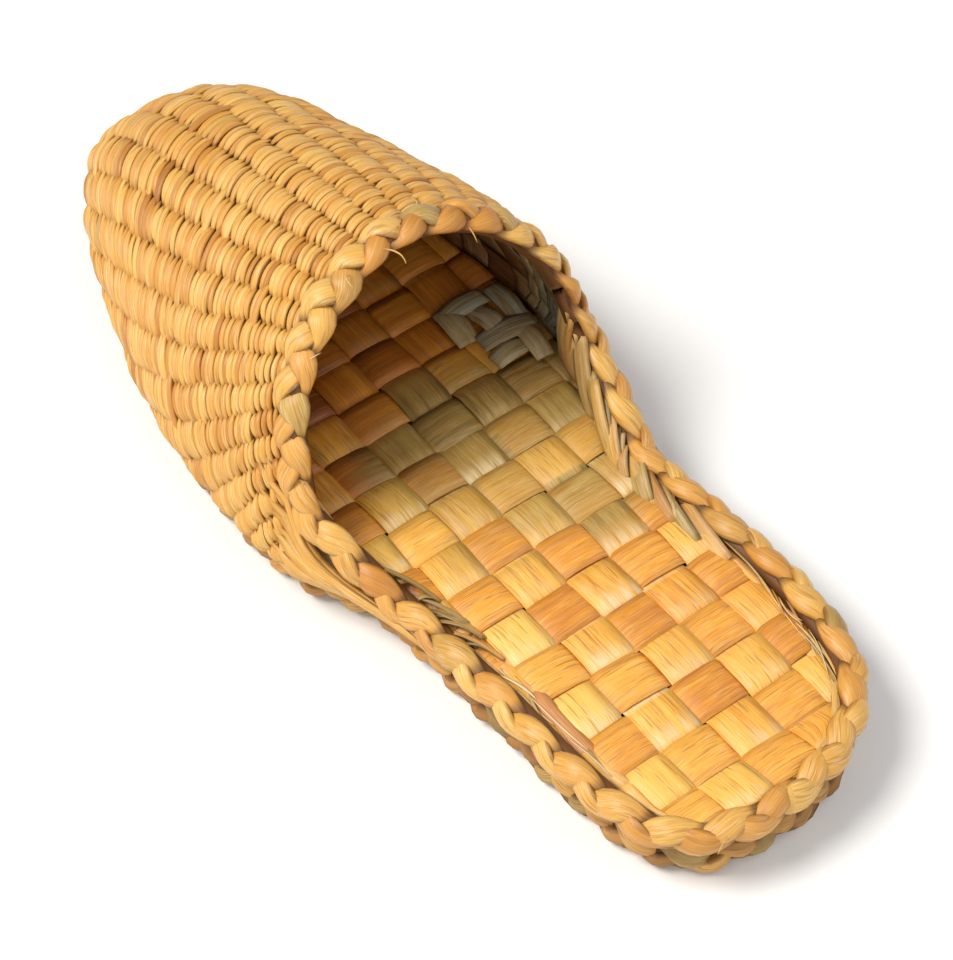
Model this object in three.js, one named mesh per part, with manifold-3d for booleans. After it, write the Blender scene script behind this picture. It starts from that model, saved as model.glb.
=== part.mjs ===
// A left straw slipper: a closed toe, an open heel, a plaited sole and rim, and a twined upper.
// Millimetres. +Y runs from the heel to the toe, +X to the wearer's right, +Z up from the floor.
import * as THREE from "three";
import { mergeVertices } from "three/addons/utils/BufferGeometryUtils.js";
import Module from "manifold-3d";

// Driving dimensions
const shoeLength = 265; // heel braid to toe tip
const ballWidth = 97; // widest sole, without the upper's bulge
const instepHeight = 75; // floor to the top of the upper, above the collar
const soleThickness = 9.6; // the lower row of plait
const clearance = 0.3; // between pieces that lie on each other

const toeSpring = 3.5; // the sole's underside rises this much at the toe
const springStart = 0.82; // share of the length where that rise starts
const archRise = 1.2; // the underside rises this much under the waist
const archStart = 0.28; // the shares of the length between which the waist is clear of the floor
const archEnd = 0.54;
const soleInset = 3.2; // the sole's edge lies this far inside the widest outline
const soleRound = 2.2; // the side's bottom edge draws in this far
const soleTopRound = 0.44; // and its top edge this far
const soleWidest = 0.6; // share of the side's height where it stands out furthest
const soleLumpPitch = 10; // one lump of plait along the sole's side
const soleLumpDepth = 1.2;
const sideLevels = [0.08, 0.35, 0.7, 1]; // the side's rings, as shares of its height
const coilCount = 3; // rows of plait underneath, from the edge to the middle
const coilDepth = 1; // the groove between two rows
const coilRound = 0.15; // a row's rounded edge beside a groove, as a share of the row's width
const spineStart = 0.14; // the innermost row lies between these shares of the length
const spineEnd = 0.84;

const wall = 2.6; // the upper's woven wall, over a rib
const bulge = 1.3; // the upper's widest line stands out from the outline
const widestRise = 6; // the widest line above the upper's lower edge
const ribCount = 18; // lengthwise ribs
const ribDepth = 1.1; // from a rib's crest to the furrow beside it
const sideRibGain = 0.09; // side ribs are wider than those on top

const collarTilt = 24.4; // degrees from upright, leaning to the toe
const collarStation = 115; // from the heel to the collar plane, at the rim's own height
const rimWidth = 11.6; // the plait over the collar, along the upper
const rimHeight = 9.4; // the plait along the sole's edge, upright
const rimDepth = 9.2; // the plait, through
const rimEdge = 0.7; // along the sole it lies this far inside the outline
const rimLumpPitch = 12;
const rimLumpDepth = 1.5;
const crestLine = 2.3; // the upper's ridge lies this far to the right of the middle
const rimInset = 0.6; // the collar's plait is centred this far inside the skin
const rimTurn = 17; // the side plait starts to climb this far behind the collar plane
const rimSlant = 0.5; // a lump's outer end lags behind its middle by this share of the pitch
const heelHub = 0.15; // round the heel the plait faces away from this share of the length

const matThickness = 4.4; // the insole between two strips
const checkRise = 1.2; // a check's crown above its edges
const stripWidth = 12; // one plaited strip
const matStart = 6; // where the first strip's edge lies, from the heel
const matTurn = [0.4, 0.5]; // the mat's edge goes from the rim to the upper between these shares

const halfLength = shoeLength / 2;
const bodyLength = shoeLength - bulge; // the outline's length, from the heel
const halfBall = ballWidth / 2;
const seat = soleThickness + clearance; // what stands on the sole starts here
const widestLevel = seat + widestRise;
const rimLevel = seat + rimHeight / 2;

// The outline that the rim and the upper follow: stations as shares of the length from the heel,
// the middle line's sideways place and the half width as shares of half the ball width.
const outlineTable = [
  { at: 0, middle: -0.02, half: 0 },
  { at: 0.011, middle: -0.02, half: 0.376 },
  { at: 0.036, middle: 0.01, half: 0.575 },
  { at: 0.074, middle: 0.052, half: 0.71 },
  { at: 0.13, middle: 0.075, half: 0.768 },
  { at: 0.194, middle: 0.08, half: 0.788 },
  { at: 0.27, middle: 0.058, half: 0.785 },
  { at: 0.338, middle: 0.034, half: 0.782 },
  { at: 0.398, middle: 0.008, half: 0.822 },
  { at: 0.459, middle: -0.024, half: 0.939 },
  { at: 0.515, middle: -0.01, half: 0.99 },
  { at: 0.591, middle: 0.006, half: 0.996 },
  { at: 0.685, middle: 0.025, half: 0.942 },
  { at: 0.779, middle: 0.04, half: 0.817 },
  { at: 0.855, middle: 0.044, half: 0.68 },
  { at: 0.919, middle: 0.045, half: 0.515 },
  { at: 0.964, middle: 0.046, half: 0.345 },
  { at: 1, middle: 0.047, half: 0 },
];

// The upper's sections: its height as a share of the instep's, and how square the section is
// (2 is an ellipse, less is more pointed).
const upperTable = [
  { at: 0.36, top: 1.06, round: 1 },
  { at: 0.455, top: 1.02, round: 1.12 },
  { at: 0.497, top: 1, round: 1.64 },
  { at: 0.53, top: 0.975, round: 1.8 },
  { at: 0.59, top: 0.925, round: 1.8 },
  { at: 0.685, top: 0.825, round: 1.75 },
  { at: 0.779, top: 0.72, round: 1.82 },
  { at: 0.855, top: 0.635, round: 2.05 },
  { at: 0.919, top: 0.515, round: 2.2 },
  { at: 0.964, top: 0.37, round: 2.2 },
  { at: 1.004, top: 0.21, round: 2.1 },
];

// The woven wall starts where the collar's plait ends, measured along the sole's top
const tiltRadians = THREE.MathUtils.degToRad(collarTilt);
const collarFoot = collarStation - (rimLevel - seat) * Math.tan(tiltRadians);
const rimReach = (rimWidth / 2 + clearance) / Math.cos(tiltRadians);
const collarEdge = (collarFoot + rimReach) / bodyLength;

// The upper's rows from the collar to the toe: where each row's plane meets the sole's top,
// and how far the plane leans from upright, in degrees.
const rowTable = [
  { share: 0, base: collarEdge, lean: collarTilt },
  { share: 0.25, base: 0.545, lean: 33 },
  { share: 0.5, base: 0.66, lean: 45 },
  { share: 0.72, base: 0.76, lean: 58 },
  { share: 0.88, base: 0.83, lean: 73 },
  { share: 1, base: 0.88, lean: 90 },
];

// A smooth curve through a table's column that never swings past its rows
function columnCurve(table, key, column) {
  const xs = table.map((row) => row[key]);
  const ys = table.map((row) => row[column]);
  const slopes = xs.slice(1).map((x, i) => (ys[i + 1] - ys[i]) / (x - xs[i]));
  const tangents = xs.map((x, i) => {
    if (i === 0) return slopes[0];
    if (i === xs.length - 1) return slopes[slopes.length - 1];
    const [before, after] = [slopes[i - 1], slopes[i]];
    return before * after <= 0 ? 0 : (2 * before * after) / (before + after);
  });
  return (value) => {
    const x = Math.min(Math.max(value, xs[0]), xs[xs.length - 1]);
    let i = 0;
    while (i < xs.length - 2 && x > xs[i + 1]) i += 1;
    const step = xs[i + 1] - xs[i];
    const u = (x - xs[i]) / step;
    const start = ys[i] * (1 + 2 * u) * (1 - u) ** 2 + tangents[i] * step * u * (1 - u) ** 2;
    const end = ys[i + 1] * u * u * (3 - 2 * u) + tangents[i + 1] * step * u * u * (u - 1);
    return start + end;
  };
}

// The squared half width is the smooth one, which gives the heel and the toe round ends
const squaredOutline = outlineTable.map((row) => ({ at: row.at, squared: row.half ** 2 }));
const squaredHalf = columnCurve(squaredOutline, "at", "squared");
const middleShare = columnCurve(outlineTable, "at", "middle");
const topShare = columnCurve(upperTable, "at", "top");
const roundness = columnCurve(upperTable, "at", "round");
const rowBase = columnCurve(rowTable, "share", "base");
const rowLean = columnCurve(rowTable, "share", "lean");

const toShare = (y) => (y + halfLength) / bodyLength;
const toStation = (share) => share * bodyLength - halfLength;
const middleAt = (y) => middleShare(toShare(y)) * halfBall;

// The half width at a station of the outline grown outwards, or drawn in where grow is negative
function halfAt(y, grow) {
  const spread = squaredHalf(toShare(y / (1 + grow / halfLength)));
  return (halfBall + grow) * Math.sqrt(Math.max(spread, 0));
}

// The upper's outer skin: its half width at a station and a height, 0 where there is none
function skinHalf(y, z) {
  const out = Math.sin((Math.PI / 2) * Math.min(Math.max((z - seat) / widestRise, 0), 1));
  const wide = halfAt(y, THREE.MathUtils.lerp(-soleInset, bulge, out));
  if (z <= widestLevel) return wide;
  const top = topShare(toShare(y)) * instepHeight;
  if (z >= top) return 0;
  const power = roundness(toShare(y));
  return wide * (1 - ((z - widestLevel) / (top - widestLevel)) ** power) ** (1 / power);
}

// The skin's middle leans from the sole's middle line to the ridge
function skinMiddle(y, z) {
  const up = (z - seat) / (topShare(toShare(y)) * instepHeight - seat);
  return THREE.MathUtils.lerp(middleAt(y), crestLine, Math.min(Math.max(up, 0), 1));
}

// Where a ray leaves the skin
function skinPoint(origin, direction) {
  let inside = 0;
  let outside = halfLength;
  for (let i = 0; i < 40; i += 1) {
    const reach = (inside + outside) / 2;
    const p = origin.clone().addScaledVector(direction, reach);
    const within = Math.abs(p.x - skinMiddle(p.y, p.z)) < skinHalf(p.y, p.z);
    if (within) inside = reach;
    else outside = reach;
  }
  return origin.clone().addScaledVector(direction, inside);
}

// Evenly spaced points along a chain, at the shares of its length that the list gives
function resample(chain, shares) {
  const lengths = [0];
  for (let i = 1; i < chain.length; i += 1) {
    lengths.push(lengths[i - 1] + chain[i].distanceTo(chain[i - 1]));
  }
  const total = lengths[lengths.length - 1];
  return shares.map((share) => {
    const goal = share * total;
    let i = 1;
    while (i < chain.length - 1 && lengths[i] < goal) i += 1;
    const u = (goal - lengths[i - 1]) / (lengths[i] - lengths[i - 1]);
    return chain[i - 1].clone().lerp(chain[i], Math.min(Math.max(u, 0), 1));
  });
}

// One row of the skin, from the left edge over the top to the right edge, in a leaning plane
// that meets the sole's top across a station
function skinRow(baseY, leanDegrees, shares) {
  const lean = THREE.MathUtils.degToRad(leanDegrees);
  const rise = new THREE.Vector3(0, Math.sin(lean), Math.cos(lean));
  const across = new THREE.Vector3(1, 0, 0);
  const foot = new THREE.Vector3(middleAt(baseY), baseY, seat + 1e-6);
  const lift = skinPoint(foot, rise).distanceTo(foot) * 0.3;
  const origin = foot.clone().addScaledVector(rise, lift);
  const baseHalf = halfAt(baseY, -soleInset);
  const start = Math.atan2(-lift, -baseHalf);
  const end = Math.atan2(-lift, baseHalf);
  const steps = 120;
  const chain = [];
  for (let i = 0; i <= steps; i += 1) {
    const from = start + 2 * Math.PI;
    const angle = from + ((end - from) * i) / steps;
    const direction = across.clone().multiplyScalar(Math.cos(angle));
    direction.addScaledVector(rise, Math.sin(angle));
    chain.push(skinPoint(origin, direction));
  }
  chain[0].set(middleAt(baseY) - baseHalf, baseY, seat);
  chain[steps].set(middleAt(baseY) + baseHalf, baseY, seat);
  return resample(chain, shares);
}

// A closed outline, drawn in as a whole and then moved inwards square to itself, as points from
// the heel up the right side and back down
function outline(count, drawn, inset) {
  const steps = 600;
  const heelEnd = -halfLength * (1 - drawn / halfLength);
  const toeEnd = toStation(1) * (1 - drawn / halfLength);
  const loop = [];
  for (let i = 0; i < steps; i += 1) {
    const turn = (2 * Math.PI * i) / steps;
    const y = THREE.MathUtils.lerp(heelEnd, toeEnd, (1 - Math.cos(turn)) / 2);
    const side = turn < Math.PI ? 1 : -1;
    loop.push(new THREE.Vector3(middleAt(y) + side * halfAt(y, -drawn), y, 0));
  }
  loop.push(loop[0].clone());
  const shares = Array.from({ length: count }, (_, i) => i / count);
  const points = resample(loop, shares);
  return points.map((p, i) => {
    const before = points[(i + count - 1) % count];
    const after = points[(i + 1) % count];
    const along = after.clone().sub(before).normalize();
    return new THREE.Vector3(p.x - along.y * inset, p.y + along.x * inset, 0);
  });
}

// A closed mesh from rings of equal length. Each end of the stack is closed with a flat cap.
function stackRings(rings) {
  const positions = [];
  const faces = [];
  const count = rings[0].length;
  rings.forEach((ring) => ring.forEach((p) => positions.push(p.x, p.y, p.z)));
  for (let r = 0; r < rings.length - 1; r += 1) {
    for (let i = 0; i < count; i += 1) {
      const j = (i + 1) % count;
      const [a, b] = [r * count + i, r * count + j];
      faces.push(a, b, b + count, a, b + count, a + count);
    }
  }
  const capFaces = (ring) => {
    const contour = ring.map((p) => new THREE.Vector2(p.x, p.y));
    const area = THREE.ShapeUtils.area(contour);
    const triangles = THREE.ShapeUtils.triangulateShape(contour, []);
    return { triangles, counterClockwise: area > 0 };
  };
  const last = (rings.length - 1) * count;
  const bottom = capFaces(rings[0]);
  bottom.triangles.forEach(([a, b, c]) => faces.push(a, c, b));
  const top = capFaces(rings[rings.length - 1]);
  top.triangles.forEach(([a, b, c]) => faces.push(last + a, last + b, last + c));
  return toGeometry(positions, faces);
}

function toGeometry(positions, faces) {
  const geometry = new THREE.BufferGeometry();
  geometry.setAttribute("position", new THREE.Float32BufferAttribute(positions, 3));
  geometry.setIndex(faces);
  return outward(geometry);
}

// Turns every face over when the mesh's signed volume is negative
function outward(geometry) {
  const p = geometry.getAttribute("position");
  const index = geometry.getIndex();
  const [a, b, c] = [new THREE.Vector3(), new THREE.Vector3(), new THREE.Vector3()];
  let volume = 0;
  for (let i = 0; i < index.count; i += 3) {
    a.fromBufferAttribute(p, index.getX(i));
    b.fromBufferAttribute(p, index.getX(i + 1));
    c.fromBufferAttribute(p, index.getX(i + 2));
    volume += a.dot(b.cross(c));
  }
  if (volume < 0) {
    for (let i = 0; i < index.count; i += 3) {
      const second = index.getX(i + 1);
      index.setX(i + 1, index.getX(i + 2));
      index.setX(i + 2, second);
    }
  }
  geometry.computeVertexNormals();
  return geometry;
}

// The outsole: a lumpy plaited edge, coils of plait underneath, a waist and a toe that rise
function outsoleGeometry() {
  const perimeter = 2 * shoeLength + ballWidth; // near enough to count lumps
  const lumps = Math.round(perimeter / soleLumpPitch);
  const count = lumps * 2;
  const edge = outline(count, soleInset, 0);
  const underside = (p) => {
    const share = toShare(p.y);
    const toe = THREE.MathUtils.smoothstep(share, springStart, 1) ** 2;
    const archMiddle = (archStart + archEnd) / 2;
    const rising = THREE.MathUtils.smoothstep(share, archStart, archMiddle);
    const falling = 1 - THREE.MathUtils.smoothstep(share, archMiddle, archEnd);
    return toeSpring * toe + archRise * Math.min(rising, falling);
  };
  const spineAt = (p) => {
    const y = toStation(Math.min(Math.max(toShare(p.y), spineStart), spineEnd));
    return new THREE.Vector3(middleAt(y), y, 0);
  };
  // A side ring at a share of the side's height, drawn in at its top and bottom
  const sideRing = (up) => {
    const low = 1 - Math.min(up / soleWidest, 1);
    const high = Math.max(up - soleWidest, 0) / (1 - soleWidest);
    const drawn = soleRound * low ** 2 + soleTopRound * high ** 2;
    return edge.map((p, i) => {
      const before = edge[(i + count - 1) % count];
      const after = edge[(i + 1) % count];
      const along = after.clone().sub(before).normalize();
      const valley = i % 2 === 0 ? 0 : soleLumpDepth * Math.sin(Math.PI * up);
      const inset = drawn + valley;
      const floor = underside(p);
      const z = floor + (soleThickness - floor) * up;
      return new THREE.Vector3(p.x - along.y * inset, p.y + along.x * inset, z);
    });
  };
  // An underside ring, a number of rows in from the edge, at the row's flat or in a groove
  const underRing = (rowsIn, groove) =>
    edge.map((p) => {
      const point = p.clone().lerp(spineAt(p), rowsIn / coilCount);
      point.z = underside(point) + groove;
      return point;
    });
  const rings = [];
  for (let row = coilCount - 1; row >= 0; row -= 1) {
    if (row < coilCount - 1) rings.push(underRing(row + 1 - coilRound, 0));
    rings.push(underRing(row + coilRound, 0));
    if (row > 0) rings.push(underRing(row, coilDepth));
  }
  sideLevels.forEach((up) => rings.push(sideRing(up)));
  return stackRings(rings);
}

// The rim's path: along the sole's edge round the heel, then over the collar
function rimPath() {
  const collarY = collarStation - halfLength;
  const shares = Array.from({ length: 41 }, (_, i) => i / 40);
  const collar = skinRow(collarFoot - halfLength, collarTilt, shares);
  const arch = collar.filter((p) => p.z > rimLevel + rimWidth);
  const hub = new THREE.Vector3(middleAt(collarY), collarY, rimLevel);
  const inward = arch.map((p) => {
    const toHub = hub.clone().sub(p).normalize();
    return p.clone().addScaledVector(toHub, rimInset);
  });
  const turnY = collarY - rimTurn;
  const sides = outline(90, 0, rimEdge + rimDepth / 2)
    .filter((p) => p.y < turnY)
    .map((p) => new THREE.Vector3(p.x, p.y, rimLevel));
  const left = sides.filter((p) => p.x < middleAt(p.y)).sort((p, q) => p.y - q.y);
  const right = sides.filter((p) => p.x >= middleAt(p.y)).sort((p, q) => q.y - p.y);
  const points = [...left, ...inward, ...right];
  return new THREE.CatmullRomCurve3(points, true, "centripetal");
}

// The rim: one loop of plait, its lumps pointing along it like arrowheads
function rimGeometry() {
  const path = rimPath();
  const lumps = Math.round(path.getLength() / rimLumpPitch);
  const count = lumps * 4;
  const sides = 8;
  const hubRear = toStation(heelHub);
  const positions = [];
  const faces = [];
  for (let i = 0; i < count; i += 1) {
    const p = path.getPointAt(i / count);
    const along = path.getTangentAt(i / count);
    const hubY = Math.max(p.y, hubRear);
    const out = p.clone().sub(new THREE.Vector3(middleAt(hubY), hubY, seat + rimHeight * 0.4));
    out.addScaledVector(along, -out.dot(along)).normalize();
    const across = along.clone().cross(out);
    const climbed = THREE.MathUtils.smoothstep(p.z, rimLevel, rimLevel + rimWidth);
    const width = THREE.MathUtils.lerp(rimHeight, rimWidth, climbed);
    for (let k = 0; k < sides; k += 1) {
      const angle = (2 * Math.PI * (k + 0.5)) / sides;
      const arrow = Math.abs(Math.sin(angle)) * rimSlant;
      const valley = 1 - Math.abs(Math.sin(Math.PI * ((i * lumps) / count + arrow)));
      const shrink = 1 - (rimLumpDepth / rimWidth) * 2 * valley;
      const q = p.clone();
      q.addScaledVector(out, (rimDepth / 2) * Math.cos(angle) * shrink);
      q.addScaledVector(across, (width / 2) * Math.sin(angle) * shrink);
      positions.push(q.x, q.y, q.z);
      const next = ((i + 1) % count) * sides;
      const [a, b] = [i * sides + k, i * sides + ((k + 1) % sides)];
      const [c, d] = [next + ((k + 1) % sides), next + k];
      faces.push(a, b, c, a, c, d);
    }
  }
  return toGeometry(positions, faces);
}

// The upper: one woven wall with its ribs raised, open at the collar and underneath
function upperGeometry() {
  const perRib = 3;
  const columns = ribCount * perRib;
  const rows = 20;
  const shares = Array.from({ length: columns + 1 }, (_, i) => {
    const t = (2 * i) / columns - 1;
    return (t * (1 - sideRibGain) + sideRibGain * t ** 3 + 1) / 2;
  });
  const skin = Array.from({ length: rows + 1 }, (_, r) => {
    const share = r / rows;
    return skinRow(toStation(rowBase(share)), rowLean(share), shares);
  });
  const normalAt = (r, i) => {
    const acrossRib = skin[r][Math.min(i + 1, columns)].clone().sub(skin[r][Math.max(i - 1, 0)]);
    const alongRib = skin[Math.min(r + 1, rows)][i].clone().sub(skin[Math.max(r - 1, 0)][i]);
    return acrossRib.cross(alongRib).normalize();
  };
  const sheet = (depthAt) =>
    skin.map((row, r) =>
      row.map((p, i) => {
        const moved = p.clone().addScaledVector(normalAt(r, i), -depthAt(i));
        const onSole = r === rows || i === 0 || i === columns;
        return onSole ? moved.setZ(seat) : moved.setZ(Math.max(moved.z, seat));
      }),
    );
  const outer = sheet((i) => (i % perRib === 0 && i > 0 && i < columns ? ribDepth : 0));
  const inner = sheet(() => wall);
  const width = columns + 1;
  const layer = width * (rows + 1);
  const positions = [...outer.flat(), ...inner.flat()].flatMap((p) => [p.x, p.y, p.z]);
  const faces = [];
  for (let r = 0; r < rows; r += 1) {
    for (let i = 0; i < columns; i += 1) {
      const a = r * width + i;
      faces.push(a, a + 1, a + width + 1, a, a + width + 1, a + width);
      const b = layer + a;
      faces.push(b, b + width + 1, b + 1, b, b + width, b + width + 1);
    }
  }
  // The cut edge between the two sheets, all the way round
  const border = [];
  for (let i = 0; i < columns; i += 1) border.push(i);
  for (let r = 0; r < rows; r += 1) border.push(r * width + columns);
  for (let i = columns; i > 0; i -= 1) border.push(rows * width + i);
  for (let r = rows; r > 0; r -= 1) border.push(r * width);
  border.forEach((a, k) => {
    const b = border[(k + 1) % border.length];
    faces.push(a, layer + b, b, a, layer + a, layer + b);
  });
  return toGeometry(positions, faces);
}

const wasm = await Module();
wasm.setup();

function toManifold(geometry) {
  const bare = geometry.clone();
  bare.deleteAttribute("normal");
  const merged = mergeVertices(bare, 1e-4);
  return new wasm.Manifold(
    new wasm.Mesh({
      numProp: 3,
      vertProperties: new Float32Array(merged.getAttribute("position").array),
      triVerts: new Uint32Array(merged.getIndex().array),
    }),
  );
}

function fromManifold(solid) {
  const mesh = solid.getMesh();
  return toGeometry(Array.from(mesh.vertProperties), Array.from(mesh.triVerts));
}

// The insole's mat: checks of plaited strips, crowned in the middle
function matGeometry() {
  const half = stripWidth / 2;
  const across = Math.ceil(ballWidth / stripWidth) + 1;
  const along = Math.ceil(shoeLength / stripWidth) + 1;
  const positions = [];
  const faces = [];
  const width = 2 * across + 1;
  const length = 2 * along + 1;
  const startX = (-across * stripWidth) / 2;
  const startY = matStart - halfLength - stripWidth;
  [0, 1].forEach((level) => {
    for (let j = 0; j < length; j += 1) {
      for (let i = 0; i < width; i += 1) {
        const crowned = i % 2 === 1 && j % 2 === 1;
        const top = seat + matThickness + (crowned ? checkRise : 0);
        positions.push(startX + i * half, startY + j * half, level === 0 ? seat : top);
      }
    }
  });
  const layer = width * length;
  for (let j = 0; j < length - 1; j += 1) {
    for (let i = 0; i < width - 1; i += 1) {
      const a = layer + j * width + i;
      const b = j * width + i;
      // The diagonal of each top quarter runs from the check's crown to its corner
      const rising = (i + j) % 2 === 0;
      if (rising) faces.push(a, a + 1, a + width + 1, a, a + width + 1, a + width);
      else faces.push(a, a + 1, a + width, a + 1, a + width + 1, a + width);
      faces.push(b, b + width + 1, b + 1, b, b + width, b + width + 1);
    }
  }
  const border = [];
  for (let i = 0; i < width - 1; i += 1) border.push(i);
  for (let j = 0; j < length - 1; j += 1) border.push(j * width + width - 1);
  for (let i = width - 1; i > 0; i -= 1) border.push((length - 1) * width + i);
  for (let j = length - 1; j > 0; j -= 1) border.push(j * width);
  border.forEach((a, k) => {
    const b = border[(k + 1) % border.length];
    faces.push(a, b, layer + b, a, layer + b, layer + a);
  });
  return toGeometry(positions, faces);
}

// The insole fills the sole inside the rim at the heel and inside the upper's wall at the toe
function insoleGeometry() {
  const rimInner = rimEdge + rimDepth + clearance;
  const upperInner = soleInset + wall + clearance;
  const count = 96;
  const edge = outline(count, 0, 0);
  const ring = edge.map((p, i) => {
    const before = edge[(i + count - 1) % count];
    const after = edge[(i + 1) % count];
    const along = after.clone().sub(before).normalize();
    const forward = THREE.MathUtils.smoothstep(toShare(p.y), ...matTurn);
    const inset = THREE.MathUtils.lerp(rimInner, upperInner, forward);
    return new THREE.Vector2(p.x - along.y * inset, p.y + along.x * inset);
  });
  const block = new THREE.ExtrudeGeometry(new THREE.Shape(ring), {
    depth: soleThickness,
    bevelEnabled: false,
  });
  block.translate(0, 0, seat - 1);
  block.deleteAttribute("uv");
  const cut = toManifold(matGeometry()).intersect(toManifold(block));
  return fromManifold(cut);
}

// Straw, from the pale strips of the insole to the dark plait of the sole
const straw = {
  outsole: { color: "#7d5f2e", roughness: 0.75 },
  insole: { color: "#d9a04e", roughness: 0.5 },
  upper: { color: "#d9a863", roughness: 0.55 },
  rim_braid: { color: "#c98f45", roughness: 0.55 },
};

function addPiece(group, name, geometry) {
  const material = new THREE.MeshStandardMaterial({ ...straw[name], metalness: 0 });
  material.name = name;
  const mesh = new THREE.Mesh(geometry, material);
  mesh.name = name;
  group.add(mesh);
}

const slipper = new THREE.Group();
addPiece(slipper, "outsole", outsoleGeometry());
addPiece(slipper, "insole", insoleGeometry());
addPiece(slipper, "upper", upperGeometry());
addPiece(slipper, "rim_braid", rimGeometry());

export default slipper;
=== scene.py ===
"""A left slipper of straw: twined upper, plaited insole, a braided rim and a braided sole.

Lengths in this file are in millimetres until a mesh is made, and metres from there on.
"""

import math

import bpy
import numpy as np
from bpy.props import FloatProperty, FloatVectorProperty, IntProperty, PointerProperty
from mathutils import Matrix, Vector


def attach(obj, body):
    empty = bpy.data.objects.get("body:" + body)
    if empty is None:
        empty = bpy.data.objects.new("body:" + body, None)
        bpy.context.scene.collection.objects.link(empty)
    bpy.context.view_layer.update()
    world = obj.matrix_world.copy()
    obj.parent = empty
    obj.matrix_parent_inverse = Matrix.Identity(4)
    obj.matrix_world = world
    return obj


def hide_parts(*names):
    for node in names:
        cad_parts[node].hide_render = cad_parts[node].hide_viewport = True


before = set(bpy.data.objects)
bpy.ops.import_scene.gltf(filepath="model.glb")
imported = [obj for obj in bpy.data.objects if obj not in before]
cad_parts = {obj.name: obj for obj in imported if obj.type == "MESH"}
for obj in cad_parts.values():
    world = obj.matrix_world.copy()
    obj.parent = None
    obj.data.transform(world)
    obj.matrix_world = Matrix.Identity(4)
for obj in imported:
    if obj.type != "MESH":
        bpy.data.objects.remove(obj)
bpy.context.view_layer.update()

bl_info = {
    "name": "Straw Slipper",
    "version": (1, 0, 0),
    "blender": (4, 5, 0),
    "location": "View3D > Sidebar > Slipper",
    "description": "Builds a plaited straw slipper over its packed solids",
    "category": "Object",
}

MM = 0.001
SEED = 27

# ---------------------------------------------------------------- the slipper's form

LENGTH = 265.0
HALF_LENGTH = LENGTH / 2
BULGE = 1.3
BODY_LENGTH = LENGTH - BULGE
HALF_BALL = 48.5
INSTEP_HEIGHT = 75.0
SOLE_THICKNESS = 9.6
SEAT = 9.9
WIDEST_RISE = 6.0
WIDEST_LEVEL = SEAT + WIDEST_RISE
SOLE_INSET = 3.2
TOE_SPRING = 3.5
ARCH_RISE = 1.2
WALL = 2.6
# The ribs: where their count starts across the upper, how much of a row one takes at the collar
# and how much more at the toe, and the numbers of the first and of the last
RIB_LINE = 0.47
RIB_SHARE = 0.034
RIB_SPREAD = 0.053
RIBS_LEFT = -15
RIBS_RIGHT = 16

CREST_LINE = 2.3
COLLAR_TILT = 24.4
COLLAR_STATION = 115.0
RIM_WIDTH = 11.6
RIM_HEIGHT = 9.4
RIM_DEPTH = 9.2
RIM_EDGE = 0.7
RIM_INSET = 0.6
RIM_TURN = 17.0
CORE_RADIUS = 2.7
CURTAIN_TOP = 30.0
RIM_LEVEL = SEAT + RIM_HEIGHT / 2
MAT_THICKNESS = 4.4
STRIPS_END = 0.44
STITCH_DEPTH = 2.3
WALL_DEPTH = 2.15
SPINE_START = 0.14
SPINE_END = 0.84

# Share of the length from the heel, the middle line's place and the half width
OUTLINE = np.array([
    (0, -0.02, 0), (0.011, -0.02, 0.376), (0.036, 0.01, 0.575), (0.074, 0.052, 0.71),
    (0.13, 0.075, 0.768), (0.194, 0.08, 0.788), (0.27, 0.058, 0.785), (0.338, 0.034, 0.782),
    (0.398, 0.008, 0.822), (0.459, -0.024, 0.939), (0.515, -0.01, 0.99), (0.591, 0.006, 0.996),
    (0.685, 0.025, 0.942), (0.779, 0.04, 0.817), (0.855, 0.044, 0.68), (0.919, 0.045, 0.515),
    (0.964, 0.046, 0.345), (1, 0.047, 0),
])

# Share of the length, the upper's height as a share of the instep's, how square its section is
SECTIONS = np.array([
    (0.36, 1.06, 1), (0.455, 1.02, 1.12), (0.497, 1, 1.64), (0.53, 0.975, 1.8),
    (0.59, 0.925, 1.8), (0.685, 0.825, 1.75), (0.779, 0.72, 1.82), (0.855, 0.635, 2.05),
    (0.919, 0.515, 2.2), (0.964, 0.37, 2.2), (1.004, 0.21, 2.1),
])


def column_curve(xs, ys):
    """A smooth curve through the points of a table that never swings past them."""
    xs, ys = np.asarray(xs, float), np.asarray(ys, float)
    slopes = np.diff(ys) / np.diff(xs)
    before, after = slopes[:-1], slopes[1:]
    total = np.where(before + after == 0, 1, before + after)
    inner = np.where(before * after <= 0, 0, 2 * before * after / total)
    tangents = np.concatenate([slopes[:1], inner, slopes[-1:]])

    def curve(value):
        x = np.clip(value, xs[0], xs[-1])
        i = np.clip(np.searchsorted(xs, x, side="left") - 1, 0, len(xs) - 2)
        step = xs[i + 1] - xs[i]
        u = (x - xs[i]) / step
        start = ys[i] * (1 + 2 * u) * (1 - u) ** 2 + tangents[i] * step * u * (1 - u) ** 2
        end = ys[i + 1] * u * u * (3 - 2 * u) + tangents[i + 1] * step * u * u * (u - 1)
        return start + end

    return curve


squared_half = column_curve(OUTLINE[:, 0], OUTLINE[:, 2] ** 2)
middle_share = column_curve(OUTLINE[:, 0], OUTLINE[:, 1])
top_share = column_curve(SECTIONS[:, 0], SECTIONS[:, 1])
roundness = column_curve(SECTIONS[:, 0], SECTIONS[:, 2])

TILT = math.radians(COLLAR_TILT)
COLLAR_FOOT = COLLAR_STATION - (RIM_LEVEL - SEAT) * math.tan(TILT)
COLLAR_EDGE = (COLLAR_FOOT + (RIM_WIDTH / 2 + 0.3) / math.cos(TILT)) / BODY_LENGTH

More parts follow.
